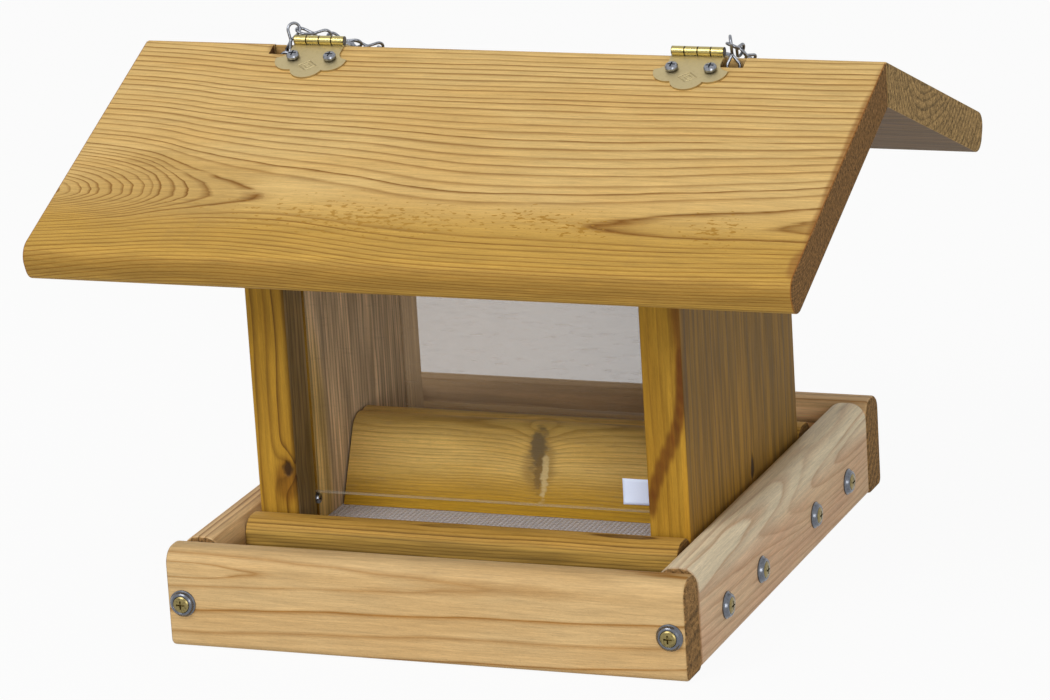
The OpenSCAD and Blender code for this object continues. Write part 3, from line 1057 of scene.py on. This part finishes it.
@dataclass
class Base:
    """Perch rails round the foot, two cross rails and the floor screen."""

    rail_l: float = 284.0
    rail_w: float = 53.0
    round_r: float = 9.0
    ease_r: float = 4.0
    arc_steps: int = 9
    end_ease: float = 1.6
    cross_y: float = 100.0
    cross_l: float = 240.0
    cross_ease: float = 0.8
    screen: tuple[float, float] = (103.0, 94.0)
    pitch: float = 2.7
    hole: float = 0.86
    strand_t: float = 0.45
    strand_rise: float = 0.18
    strand_sharp: float = 80.0

    def section(self) -> np.ndarray:
        """Outline of a rail on edge, rounded above and eased below.

        Returns:
            Points (thickness, height).
        """
        w = BOARD_T / 2
        corners = np.array([[-w, 0], [w, 0], [w, self.rail_w], [-w, self.rail_w]])
        radii = np.array([self.ease_r, self.ease_r, self.round_r, self.round_r])
        return rounded(corners, radii, self.arc_steps)

    def rail(self, name: str, length: float, ease: float, middle: tuple[float, float],
             along_x: bool) -> bpy.types.Object:
        """A rail: its section carried along X or Y, drawn in at the eased ends.

        Args:
            name: the piece's name.
            length: its length.
            ease: radius of its end edges.
            middle: x and y of its middle.
            along_x: whether it runs along X.

        Returns:
            The rail.
        """
        place, depth = eased_stations(length, ease)
        along, across = (X, (0, -1, 0)) if along_x else (Y, X)
        return steady_normals(carried(name, inset(self.section(), depth), place, along, across,
                                      (*middle, 0)))

    def floor_mesh(self) -> bpy.types.Object:
        """Expanded metal sheet: a grid of cells, each with a diamond hole.

        Cell corners lie at whole multiples of the pitch, every hole's four corners lie at
        `hole` from the cell's middle, and strands rise where they cross: z is `strand_rise`
        times the product of the cosines of x and y over the pitch.

        Returns:
            The sheet, given its thickness by a modifier.
        """
        half_x, half_y = self.screen
        nx, ny = int(2 * half_x / self.pitch), int(2 * half_y / self.pitch)
        x, y = np.linspace(-half_x, half_x, nx + 1), np.linspace(-half_y, half_y, ny + 1)
        corner = np.stack(np.meshgrid(x, y, indexing="ij"), axis=-1).reshape(-1, 2)
        middle = np.stack(np.meshgrid((x[1:] + x[:-1]) / 2, (y[1:] + y[:-1]) / 2,
                                      indexing="ij"), axis=-1).reshape(-1, 1, 2)
        reach = np.array([[0, -1], [1, 0], [0, 1], [-1, 0]]) * self.hole
        flat = np.concatenate([corner, (middle + reach[None]).reshape(-1, 2)])
        turns = np.array([nx / (2 * half_x), ny / (2 * half_y)]) * 2 * math.pi
        crest = np.cos((flat + np.array([half_x, half_y])) * turns).prod(axis=1)
        points = np.column_stack([flat, FLOOR_Z - self.strand_t + self.strand_rise * crest])
        i, j = (a.ravel() for a in np.meshgrid(np.arange(nx), np.arange(ny), indexing="ij"))
        a, b = i * (ny + 1) + j, (i + 1) * (ny + 1) + j
        c, d = b + 1, a + 1
        south = len(corner) + 4 * (i * ny + j)
        east, north, west = south + 1, south + 2, south + 3
        triangles = np.concatenate([np.column_stack(t) for t in (
            (a, b, south), (b, c, east), (c, d, north), (d, a, west),
            (b, east, south), (c, north, east), (d, west, north), (a, south, west))])
        sheet = make_mesh("floor_mesh", points, [triangles], self.strand_sharp)
        return thicken(sheet, self.strand_t, 0.0)

    def perch_grains(self) -> dict[str, Cedar]:
        """The four perch rails' wood.

        Returns:
            Each rail's grain, by its side.
        """
        return {
            "front": Cedar("front_perch", X, Z, (0, -164, 26), reach=290, pith=(-227, 34),
                           spacing=2.6, core=(243.0, 11.5), drift=10.0, wander=2.2, ripple=1.2,
                           line_width=0.09, warm_share=0.5, seed=1, early=(204, 172, 122),
                           warm=(198, 160, 106), late=(158, 110, 44)),
            "back": Cedar("back_perch", X, Z, (0, 164, 26), reach=290, pith=(40, -60),
                          wander=4.0, line_width=0.16, seed=2, early=(220, 184, 136),
                          warm=(206, 166, 116), late=(158, 110, 44),
                          # painted light: the inner face, towards the hopper, is lighter
                          painted_light_face=((0, -1, 0), (246, 208, 160), 0.9)),
            "left": Cedar("left_perch", Y, Z, (-142, 0, 26), reach=290, pith=(30, -40),
                          spacing=4.4, seed=3, early=(224, 190, 140), warm=(212, 172, 118),
                          late=(148, 100, 44)),
            "right": Cedar("right_perch", Y, Z, (142, 0, 26), reach=290, pith=(12, 22),
                           spacing=3.2, rise=((0.0, 1.0), (0.4, 0.86), (0.7, 0.5), (1.0, 0.3)),
                           line_share=0.55, seed=4, early=(226, 194, 156),
                           warm=(216, 174, 140), late=(176, 126, 82),
                           shore=(4.0, 20.0, (232, 218, 186), 0.85), worn=0.4),
        }

    def dress(self, dresser: Dresser) -> None:
        """Makes the rails, the cross rails and the mesh.

        Args:
            dresser: what takes the finished pieces.
        """
        out, side = (self.rail_l + BOARD_T) / 2, (self.rail_l - BOARD_T) / 2
        grains = self.perch_grains()
        for name, kind, middle in (("front", "perch", (0, -out)), ("back", "perch", (0, out)),
                                   ("left", "side", (-side, 0)), ("right", "side", (side, 0))):
            piece = self.rail(f"cedar_{name}_{kind}_rail", self.rail_l, self.end_ease, middle,
                              along_x=kind == "perch")
            dresser.put(piece, grains[name].make(), Body.FEEDER, Slot.CEDAR,
                        f"{name}_{kind}_rail")
        for name, sign in (("front", -1), ("back", 1)):
            grain = Cedar(f"{name}_cross", X, Z, (0, sign * 111, 26), reach=250,
                          pith=(90, sign * -10), spacing=3.0, wander=2.4, early=(198, 155, 76),
                          warm=(176, 133, 54), late=(108, 74, 22), end=(120, 88, 44),
                          # painted shade: the long face that looks out from the middle is darker
                          painted_light_face=((0, sign, 0), (174, 140, 68), 0.75), seed=5 + sign)
            piece = self.rail(f"cedar_{name}_cross_rail", self.cross_l, self.cross_ease,
                              (0, sign * self.cross_y), along_x=True)
            dresser.put(piece, grain.make(), Body.FEEDER, Slot.CEDAR, f"{name}_cross_rail")
        sheet = Metal("mesh_sheet", (216, 211, 214), rough=0.5, grime=(172, 171, 176),
                      grime_share=0.4, metallic=0.2)
        dresser.put(self.floor_mesh(), sheet.make(), Body.FEEDER, Slot.MESH, "floor_screen")


@dataclass
class Hopper:
    """Two gabled end walls, two seed deflectors, two panes and the blank label."""

    wall_d: float = 178.0
    wall_in: float = 98.0
    wall_out: float = 120.0
    edge_r: float = 1.2
    edge_steps: int = 3
    end_insets: tuple[float, float] = (0.7, 0.2)
    end_lift: float = 0.5
    pane_y: float = 64.5
    pane_t: float = 2.4
    pane_x: float = 103.7
    pane_z: tuple[float, float] = (54.5, 226.67)
    pane_ease: float = 0.3
    kerf_w: float = 3.0
    kerf_d: float = 6.0
    kerf_r: tuple[float, float] = (0.2, 0.1)
    lid_gap: float = 0.3
    deflector_a: float = math.radians(63)
    deflector_l: float = 194.0
    deflector_w: float = 53.0
    deflector_ease: float = 0.7
    nose_in: float = 0.42
    nose_steps: int = 14
    label_x: tuple[float, float] = (75.8, 100.5)
    label_z: tuple[float, float] = (58.7, 72.7)
    label_t: float = 0.08
    label_grid: tuple[int, int] = (14, 10)
    curl: float = 0.5
    curl_reach: float = 2.2
    swirl: tuple[tuple[float, float], ...] = (
        (26, 0.6), (18, 0.8), (10, 1.2), (2, 2.0), (-6, 3.2), (-14, 5.4), (-21, 8.4),
        (-28, 11.8), (-35, 15.0), (-43, 18.0), (-52, 20.0))

    def wall(self, side: int) -> bpy.types.Object:
        """An end wall: its plan, with a saw kerf for each pane, carried up to the roof.

        The top of each point is the roof's underside over it: the ridge's underside less the
        distance from the middle times the slope, less the lid's gap in front.

        Args:
            side: -1 for the left wall, 1 for the right one.

        Returns:
            The wall.
        """
        y, k, p = self.wall_d / 2, self.kerf_w / 2, self.pane_y
        a, b, deep = self.wall_in, self.wall_out, self.wall_in + self.kerf_d
        corners = np.array([[a, -y], [b, -y], [b, 0], [b, y], [a, y], [a, p + k], [deep, p + k],
                            [deep, p - k], [a, p - k], [a, 0], [a, k - p], [deep, k - p],
                            [deep, -k - p], [a, -k - p]])
        e, (mouth, foot) = self.edge_r, self.kerf_r
        radii = np.array([e, e, 0, e, e, mouth, foot, foot, mouth, 0, mouth, foot, foot, mouth])
        steps = 4
        plan = rounded(corners, radii, steps)
        share, _ = eased_stations(1.0, 0.0, 2)
        level = [0.0] * (len(share) - 4)
        outer_inset, inner_inset = self.end_insets
        depth = np.array([outer_inset, inner_inset, *level, inner_inset, outer_inset])
        lift = np.array([0.0, self.end_lift, *level, -self.end_lift, 0.0])
        flat = inset(plan, depth)
        front_gap = np.where(flat[..., 1] < 0, self.lid_gap, 0.0)
        top = UNDER_Z - np.abs(flat[..., 1]) * SLOPE_TAN - front_gap
        z = (share[:, None] + 0.5) * top + lift[:, None]
        rings = np.stack([flat[..., 0] * side, flat[..., 1], z], axis=-1)
        # each end is two flat faces that meet over the middle, at corners 2 and 9 of the plan
        outer, inner = (corner * steps + steps // 2 for corner in (2, 9))
        number = np.arange(len(plan))
        caps = [np.concatenate([number[inner:], number[:outer]]), number[outer - 1:inner + 1]]
        if side < 0:
            rings, caps = rings[:, ::-1], [len(plan) - 1 - cap[::-1] for cap in caps]
        name = "cedar_left_wall" if side < 0 else "cedar_right_wall"
        return steady_normals(loft(name, rings, caps))

    def deflector_outline(self) -> np.ndarray:
        """Outline of the front deflector: a board on the slope, with an arc for its nose, cut
        level at the floor and upright at the middle.

        Returns:
            Points (y, z).
        """
        r, (c, s) = BOARD_T / 2, (math.cos(self.deflector_a), math.sin(self.deflector_a))
        nose = np.array([-self.nose_in * r, FLOOR_Z + (self.deflector_w - r) * s - r * c])
        down, face = np.array([-c, -s]), np.array([-s, c])
        under, upper = nose - r * face, nose + r * face
        corners = [upper + down * ((upper[1] - FLOOR_Z) / s),
                   under + down * ((under[1] - FLOOR_Z) / s), under + down * (under[0] / c)]
        angle = np.linspace(math.acos(-nose[0] / r), math.pi / 2 + self.deflector_a,
                            self.nose_steps)
        return np.concatenate([corners, nose + r * np.stack([np.cos(angle), np.sin(angle)],
                                                            axis=1)])

    def deflector(self, side: int) -> bpy.types.Object:
        """A seed deflector: its outline carried along X.

        Args:
            side: -1 for the front one, 1 for the back one.

        Returns:
            The deflector.
        """
        place, depth = eased_stations(self.deflector_l, self.deflector_ease, self.edge_steps)
        return steady_normals(carried(f"cedar_{face_name(side)}_deflector",
                                      inset(self.deflector_outline(), depth), place, X,
                                      (0, -side, 0)))

    def pane(self, side: int) -> bpy.types.Object:
        """A pane: a thin rounded rectangle (y, z) carried along X.

        Args:
            side: -1 for the front one, 1 for the back one.

        Returns:
            The pane.
        """
        y, t, (low, high) = self.pane_y * side, self.pane_t / 2, self.pane_z
        corners = np.array([[y - t, low], [y + t, low], [y + t, high], [y - t, high]])
        place, depth = eased_stations(2 * self.pane_x, self.pane_ease, self.edge_steps)
        outline = rounded(corners, np.full(4, self.pane_ease), self.edge_steps)
        return carried(f"clear_{face_name(side)}_pane", inset(outline, depth), place, X, Y)

    def label(self) -> bpy.types.Object:
        """The blank label on the front pane: a thin sheet whose free corner lifts a little.

        Its distance off the pane is its thickness plus `curl` times the square of how far a
        point is towards its lower left corner.

        Returns:
            The label.
        """
        nu, nv = self.label_grid
        u, v = np.meshgrid(np.linspace(0, 1, nu), np.linspace(0, 1, nv), indexing="ij")
        lift = self.label_t + self.curl * np.clip(1 - self.curl_reach * np.hypot(u, v), 0, 1) ** 2
        x = self.label_x[0] + u * (self.label_x[1] - self.label_x[0])
        z = self.label_z[0] + v * (self.label_z[1] - self.label_z[0])
        points = np.stack([x, -self.pane_y - self.pane_t / 2 - lift, z], axis=-1).reshape(-1, 3)
        return thicken(make_mesh("blank_label", points, [grid_faces(nu, nv, closed=False)]),
                       self.label_t, -1.0)

    def wall_grains(self) -> tuple[Cedar, Cedar]:
        """The end walls' wood.

        Returns:
            The left wall's grain and the right one's.
        """
        shared = {"reach": 260, "early": (180, 137, 46), "warm": (154, 111, 30),
                  "late": (104, 68, 16), "end": (120, 92, 60)}
        left = Cedar("left_wall", Z, Y, (-98, 0, 120), pith=(-150, 30), spacing=3.6,
                     # painted light: the inner face, which looks along +X, is lighter
                     seed=11, painted_light_face=(X, (216, 188, 150), 0.9),
                     knots=(Spot((-45, -89, 4.5), (4.6, 9.0, 3.2), (48, 30, 14), pull=5.0,
                                 sink=0.5),),
                     stains=(Spot((-52, -89, 6.0), (13.0, 14.0, 7.0), (116, 72, 18), 0.7),),
                     # painted light and shade: the inner face darker by the front kerf, a little
                     # darker and yellower low in front, lighter towards the back
                     painted_light_tints=(Spot((0, -78, 0), (400.0, 16.0, 3.0), (158, 150, 122), 1.0,
                                 rag=0.3),
                            Spot((-60, -58, 0), (90.0, 16.0, 3.0), (250, 244, 190), rag=0.6),
                            Spot((0, 80, 0), (400.0, 18.0, 3.0), (300, 294, 270), 1.0,
                                 rag=0.3)), **shared)
        curl = (Spot((z, -89, inward), (9.0, 12.0, 3.2), (104, 58, 16), 0.8, rag=0.5)
                for z, inward in self.swirl)
        right = Cedar("right_wall", Z, Y, (120, 0, 120), pith=(-120, 40), spacing=5.5,
                      line_width=0.16, line_share=0.45, seed=12,
                      # painted shade: the outer face, which looks along +X, is darker
                      painted_light_face=(X, (126, 94, 38), 0.88),
                      # painted light: the outer face is lighter towards its lower front
                      painted_light_tints=(Spot((-70, -40, 0), (80.0, 90.0, 4.0), (286, 282, 270), 0.85,
                                  rag=0.6),),
                      knots=(Spot((-64, 12, 0), (7.5, 3.2, 6.0), (40, 26, 14), pull=2.0,
                                  sink=0.8),),
                      stains=(Spot((60, -89, -1), (74.0, 16.0, 6.5), (112, 68, 22), 0.85),
                              *curl), **shared)
        return left, right

    def deflector_grain(self, side: int) -> Cedar:
        """A deflector's wood, with its knot and the pale split under it.

        Args:
            side: -1 for the front one, 1 for the back one.

        Returns:
            The grain.
        """
        up_slope = (0.0, -side * math.cos(self.deflector_a), math.sin(self.deflector_a))
        return Cedar(f"{face_name(side)}_deflector", X, up_slope, (0, side * 24, 56),
                     reach=200, pith=(-62, 22), spacing=1.7, wander=2.4, ripple=1.0,
                     line_share=0.55, seed=15 + side, early=(230, 192, 108), warm=(208, 164, 74),
                     late=(140, 98, 22), shore=(8.0, -16.0, (191, 145, 22), 0.92),
                     stains=(Spot((12, 8, 0), (10.0, 22.0, 20.0), (136, 106, 52), 0.55),
                             Spot((0, 24, 0), (200.0, 7.0, 20.0), (186, 152, 78), 0.6)),
                     knots=(Spot((11, 15, 0), (5.6, 13.0, 16.0), (100, 84, 58), 0.85,
                                 pull=2.6, rag=1.6),
                            Spot((13, 2, 0), (3.6, 12.0, 16.0), (122, 94, 48), 0.75, rag=1.9),
                            Spot((16, 0, 0), (2.2, 13.0, 16.0), (216, 190, 132), 0.85,
                                 rag=2.4)))

    def dress(self, dresser: Dresser) -> None:
        """Makes the walls, deflectors, panes and label.

        Args:
            dresser: what takes the finished pieces.
        """
        for name, side, grain in zip(("left", "right"), (-1, 1), self.wall_grains()):
            dresser.put(self.wall(side), grain.make(), Body.FEEDER, Slot.CEDAR,
                        f"{name}_end_wall")
        for side in (-1, 1):
            dresser.put(self.deflector(side), self.deflector_grain(side).make(), Body.FEEDER,
                        Slot.CEDAR, f"{face_name(side)}_seed_deflector")
        clear = ClearSheet("front_clear")
        # the back pane is smoky plastic, and its light warm haze is partly painted light on the
        # shaded inside seen through it
        smoky_and_painted_light = ClearSheet("back_clear", (204, 182, 152), haze=0.4, gloss=0.5)
        for side, sheet, window in ((-1, clear, Body.FRONT_WINDOW), (1, smoky_and_painted_light, Body.BACK_WINDOW)):
            dresser.put(self.pane(side), sheet.make(), window, Slot.PANE,
                        f"{face_name(side)}_pane")
        dresser.put(self.label(), Paper().make(), Body.FRONT_WINDOW, Slot.PANE)


@dataclass
class Roof:
    """The two roof boards, mitred at the ridge and notched for the chain."""

    length: float = 414.0
    width: float = 184.0
    eave_r: float = 9.0
    mitre_r: tuple[float, float] = (0.5, 0.7)
    arc_steps: int = 9
    end_ease: float = 0.9
    mitre_gap: float = 0.25
    slot_x: float = 125.5
    slot_l: float = 14.0
    notch: dict[int, float] = field(default_factory=lambda: {-1: 7.6, 1: 1.8})
    fleck: Colour = (160, 116, 36)

    def section(self, cut: float) -> np.ndarray:
        """Outline of the back board, sawn upright at the ridge and rounded at the eave.

        Args:
            cut: distance of the saw cut from the middle.

        Returns:
            Points (y, z).
        """
        out = np.array([SLOPE_SIN, SLOPE_COS])
        eave = np.array([0.0, RIDGE_Z]) + self.width * np.array([SLOPE_COS, -SLOPE_SIN])
        corners = np.array([[cut, UNDER_Z - cut * SLOPE_TAN], eave - BOARD_T * out, eave,
                            [cut, RIDGE_Z - cut * SLOPE_TAN]])
        low, high = self.mitre_r
        return rounded(corners, np.array([low, self.eave_r, self.eave_r, high]), self.arc_steps)

    def board(self, side: int) -> bpy.types.Object:
        """A roof board: its outline carried along X, with the mitre cut deeper at each notch.

        A notch's side is two rings in one place, the plain outline and the deeper one; the
        inner one is sorted as if it lay a touch further in.

        Args:
            side: -1 for the front lid, 1 for the back board.

        Returns:
            The board.
        """
        place, depth = eased_stations(self.length, self.end_ease)
        half, touch = self.slot_l / 2, 1e-3
        edges = np.array([s * self.slot_x + e * half for s in (-1, 1) for e in (-1, 1)])
        order = np.concatenate([place, edges, edges + np.array([touch, -touch, touch, -touch])])
        sort = np.argsort(order, kind="stable")
        place = np.concatenate([place, edges, edges])[sort]
        depth = np.concatenate([depth, np.zeros(2 * len(edges))])[sort]
        notched = np.abs(np.abs(order[sort]) - self.slot_x) < half
        flat = np.where(notched[:, None, None], inset(self.section(self.notch[side]), depth),
                        inset(self.section(self.mitre_gap), depth))
        return steady_normals(carried(f"cedar_{face_name(side)}_roof_board", flat, place, X,
                                      (0, side, 0)))

    def front_grain(self) -> Cedar:
        """The front board's wood.

        Returns:
            A grain whose rings close round a heart at the left, with resin flecks.
        """
        down = 131  # how far down the slope the grain's origin lies
        return Cedar(
            "front_roof", X, (0, SLOPE_COS, SLOPE_SIN),
            (0, -SLOPE_COS * down, RIDGE_Z - SLOPE_SIN * down), pith=(-4, 43.8), spacing=4.2,
            core=(42.0, 2.333),
            rise=((0.0, 0.195), (0.041, 0.348), (0.077, 0.485), (0.114, 0.626), (0.1425, 0.747),
                  (0.16, 0.8), (0.1836, 0.852), (0.218, 0.906), (0.276, 0.959), (0.403, 0.99),
                  (0.5, 1.0), (0.62, 0.986), (0.731, 0.959), (0.838, 0.922), (0.924, 0.906),
                  (1.0, 0.88)),
            drift=20, bend=((0.0, 0.6), (0.23, 0.7), (0.6, 0.0), (1.0, 0.3)), wander=1.2,
            ripple=1.0, crowd=1.55, lean=-3.0, line_width=0.15, line_share=1.0,
            early=(212, 178, 114), warm=(206, 166, 98), late=(128, 84, 12),
            shore=(12.0, -28.0, (186, 146, 66), 0.95), worn=0.8, end=(128, 94, 54),
            # painted shade: the underside is darker
            painted_light_face=((0, SLOPE_SIN, -SLOPE_COS), (102, 78, 58), 0.8),
            flecks=(Spot((62, -9, 0), (22, 8, 60), self.fleck, 0.8),
                    Spot((86, -17, 0), (14, 7, 60), self.fleck, 0.8),
                    Spot((156, -13, 0), (15, 11, 60), self.fleck, 0.8),
                    Spot((-30, -14, 0), (60, 12, 60), self.fleck, 0.7)),
            stains=(Spot((-150, 2, 0), (66, 36, 60), (178, 142, 78), 0.6),
                    Spot((207, 46, 0), (3.8, 92, 40), (140, 92, 42), 0.75, rag=0.9),
                    Spot((206, -36, 0), (4.5, 14, 14), (140, 90, 40), 0.6),
                    Spot((0, -52, -8), (600, 9, 8), (152, 116, 52), 0.8, rag=0.4)),
            # painted shade: darker in the notch for the chain at the left
            painted_light_tints=(Spot((-self.slot_x, 128, 0), (9.5, 8.5, 30), (150, 120, 90), rag=0.5),),
            seed=21)

    def back_grain(self) -> Cedar:
        """The back board's wood."""
        down = 92  # how far down the slope the grain's origin lies
        return Cedar(
            "back_roof", X, (0, -SLOPE_COS, SLOPE_SIN),
            (0, SLOPE_COS * down, RIDGE_Z - SLOPE_SIN * down), pith=(30, 60), spacing=4.4,
            core=(50.0, 3.2), rise=((0.0, 0.78), (0.5, 1.0), (1.0, 0.9)), wander=2.4,
            line_width=0.15, end=(160, 130, 84),
            # painted shade: the underside is darker
            painted_light_face=((0, -SLOPE_SIN, -SLOPE_COS), (100, 78, 58), 0.8),
            flecks=(Spot((40, 10, 0), (60, 16, 60), self.fleck, 0.6),), seed=22)

    def dress(self, dresser: Dresser) -> None:
        """Makes both boards."""
        dresser.put(self.board(-1), self.front_grain().make(), Body.LID, Slot.CEDAR,
                    "front_roof_board")
        dresser.put(self.board(1), self.back_grain().make(), Body.FEEDER, Slot.CEDAR,
                    "back_roof_board")


@dataclass
class Hardware:
    """Hinges, screws, washers and the chain, which keep their solids."""

    brass: HingeBrass = HingeBrass()
    bright: Metal = Metal("bright_zinc", (142, 145, 152), 0.26, (60, 62, 66), 0.6)
    dull: Metal = Metal("dull_zinc", (108, 111, 118), 0.2, (56, 58, 62), 0.35, pit=0.12)
    yellow: Metal = Metal("yellow_zinc", (142, 128, 84), 0.28, (66, 58, 34), 0.6)

    def dress(self, dresser: Dresser) -> None:
        """Finishes the hinges, the fasteners and the chain.

        Args:
            dresser: what finishes them.
        """
        seats = ("perch_rail", "side_rail", "roof_board")
        for metal, nodes in (
                (self.brass, [f"{side}_hinge_{part}" for side in ("left", "right")
                              for part in ("front_leaf", "back_leaf", "pin")]),
                (self.bright, ["front_leaf_screws", "back_leaf_screws", "pane_stop_screws",
                               "chain_anchor_screws", "hanging_chain"]),
                (self.dull, [f"{seat}_washers" for seat in seats]),
                (self.yellow, [f"{seat}_screws" for seat in seats])):
            finish = metal.make()
            for node in nodes:
                dresser.repaint(node, finish)


# Studio


@dataclass(frozen=True)
class Lamp:
    """A square soft lamp: where it stands and its side, in metres, and its power in watts."""

    name: str
    place: Point
    size: float
    power: float

    def light(self, aim: Point) -> None:
        """Hangs the lamp.

        Args:
            aim: the point that it looks at, in metres.
        """
        data = bpy.data.lights.new(self.name, "AREA")
        data.energy, data.size = self.power, self.size
        lamp = bpy.data.objects.new(self.name, data)
        bpy.context.scene.collection.objects.link(lamp)
        lamp.location = self.place
        lamp.rotation_mode = "QUATERNION"
        lamp.rotation_quaternion = (Vector(aim) - Vector(self.place)).to_track_quat("-Z", "Y")


@dataclass(frozen=True)
class Studio:
    """The photograph's camera, a pale floor and soft light.

    The camera stands at `stand` (right, up, back) from `pivot` in its own directions.
    """

    azimuth: float = math.radians(21.779)
    elevation: float = math.radians(16.409)
    roll: float = math.radians(-3.538)
    stand: Point = (0.461, -10.854, 2817.106)
    pivot: Point = (0.0, 0.0, 130.0)
    lens: float = 182.15
    sensor: float = 36.0
    clip: tuple[float, float] = (0.1, 50.0)
    floor_half: float = 6000.0
    floor_z: float = -0.4
    ambient: float = 0.55
    aim: Point = (0, 0, 0.12)
    lamps: tuple[Lamp, ...] = (Lamp("key_lamp", (-0.8, -2.0, 1.9), 1.4, 38.0),
                               Lamp("front_lamp", (1.6, -2.4, 0.5), 1.2, 22.0))

    def axes(self) -> np.ndarray:
        """The camera's directions.

        Returns:
            Its right, up and back, one a row.
        """
        a, e = self.azimuth, self.elevation
        right = np.array([math.cos(a), math.sin(a), 0.0])
        back = np.array([math.sin(a) * math.cos(e), -math.cos(a) * math.cos(e), math.sin(e)])
        up = np.cross(back, right)
        c, s = math.cos(self.roll), math.sin(self.roll)
        return np.array([c * right + s * up, -s * right + c * up, back])

    def set_camera(self) -> None:
        """Makes the camera and sets it active."""
        data = bpy.data.cameras.new("studio_camera")
        data.lens, data.sensor_width = self.lens, self.sensor
        data.clip_start, data.clip_end = self.clip
        camera = bpy.data.objects.new("studio_camera", data)
        bpy.context.scene.collection.objects.link(camera)
        axes = self.axes()
        turn = Matrix([[float(v) for v in row] for row in axes.T]).to_4x4()
        spot = (axes.T @ np.array(self.stand) + np.array(self.pivot)) * MM
        camera.matrix_world = Matrix.Translation(Vector([float(v) for v in spot])) @ turn
        bpy.context.scene.camera = camera

    def set_floor(self) -> None:
        """Lays the floor."""
        corners = np.array([[-1, -1], [1, -1], [1, 1], [-1, 1]]) * self.floor_half
        points = np.column_stack([corners, np.full(4, self.floor_z)])
        floor = make_mesh("studio_floor", points, [np.array([[0, 1, 2, 3]])])
        floor.data.materials.append(StudioFloor().make())

    def set_world(self) -> None:
        """White to the camera and in reflections, and a soft even light elsewhere."""
        world = bpy.data.worlds.new("studio_world")
        bpy.context.scene.world = world
        world.use_nodes = True
        nodes = Nodes(world.node_tree)
        strength = nodes.add("ShaderNodeMapRange", {"Value": nodes.shown(),
                                                    "To Min": self.ambient})
        sky = nodes.add("ShaderNodeBackground", {"Color": (1, 1, 1, 1),
                                                 "Strength": strength.outputs["Result"]})
        nodes.add("ShaderNodeOutputWorld", {"Surface": sky.outputs[0]})

    def build(self) -> None:
        """Sets up everything."""
        self.set_camera()
        self.set_floor()
        self.set_world()
        for lamp in self.lamps:
            lamp.light(self.aim)
        bpy.context.scene.view_settings.view_transform = "Standard"


def main() -> None:
    """Builds the sub-assemblies in order, then the studio."""
    logging.basicConfig(level=logging.INFO, format="%(name)s: %(message)s")
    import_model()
    dresser = Dresser()
    for assembly in (Base(), Hopper(), Roof(), Hardware()):
        assembly.dress(dresser)
    Studio().build()
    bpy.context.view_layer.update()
    log.info("%d new pieces", dresser.count)


if __name__ == "__main__":
    main()
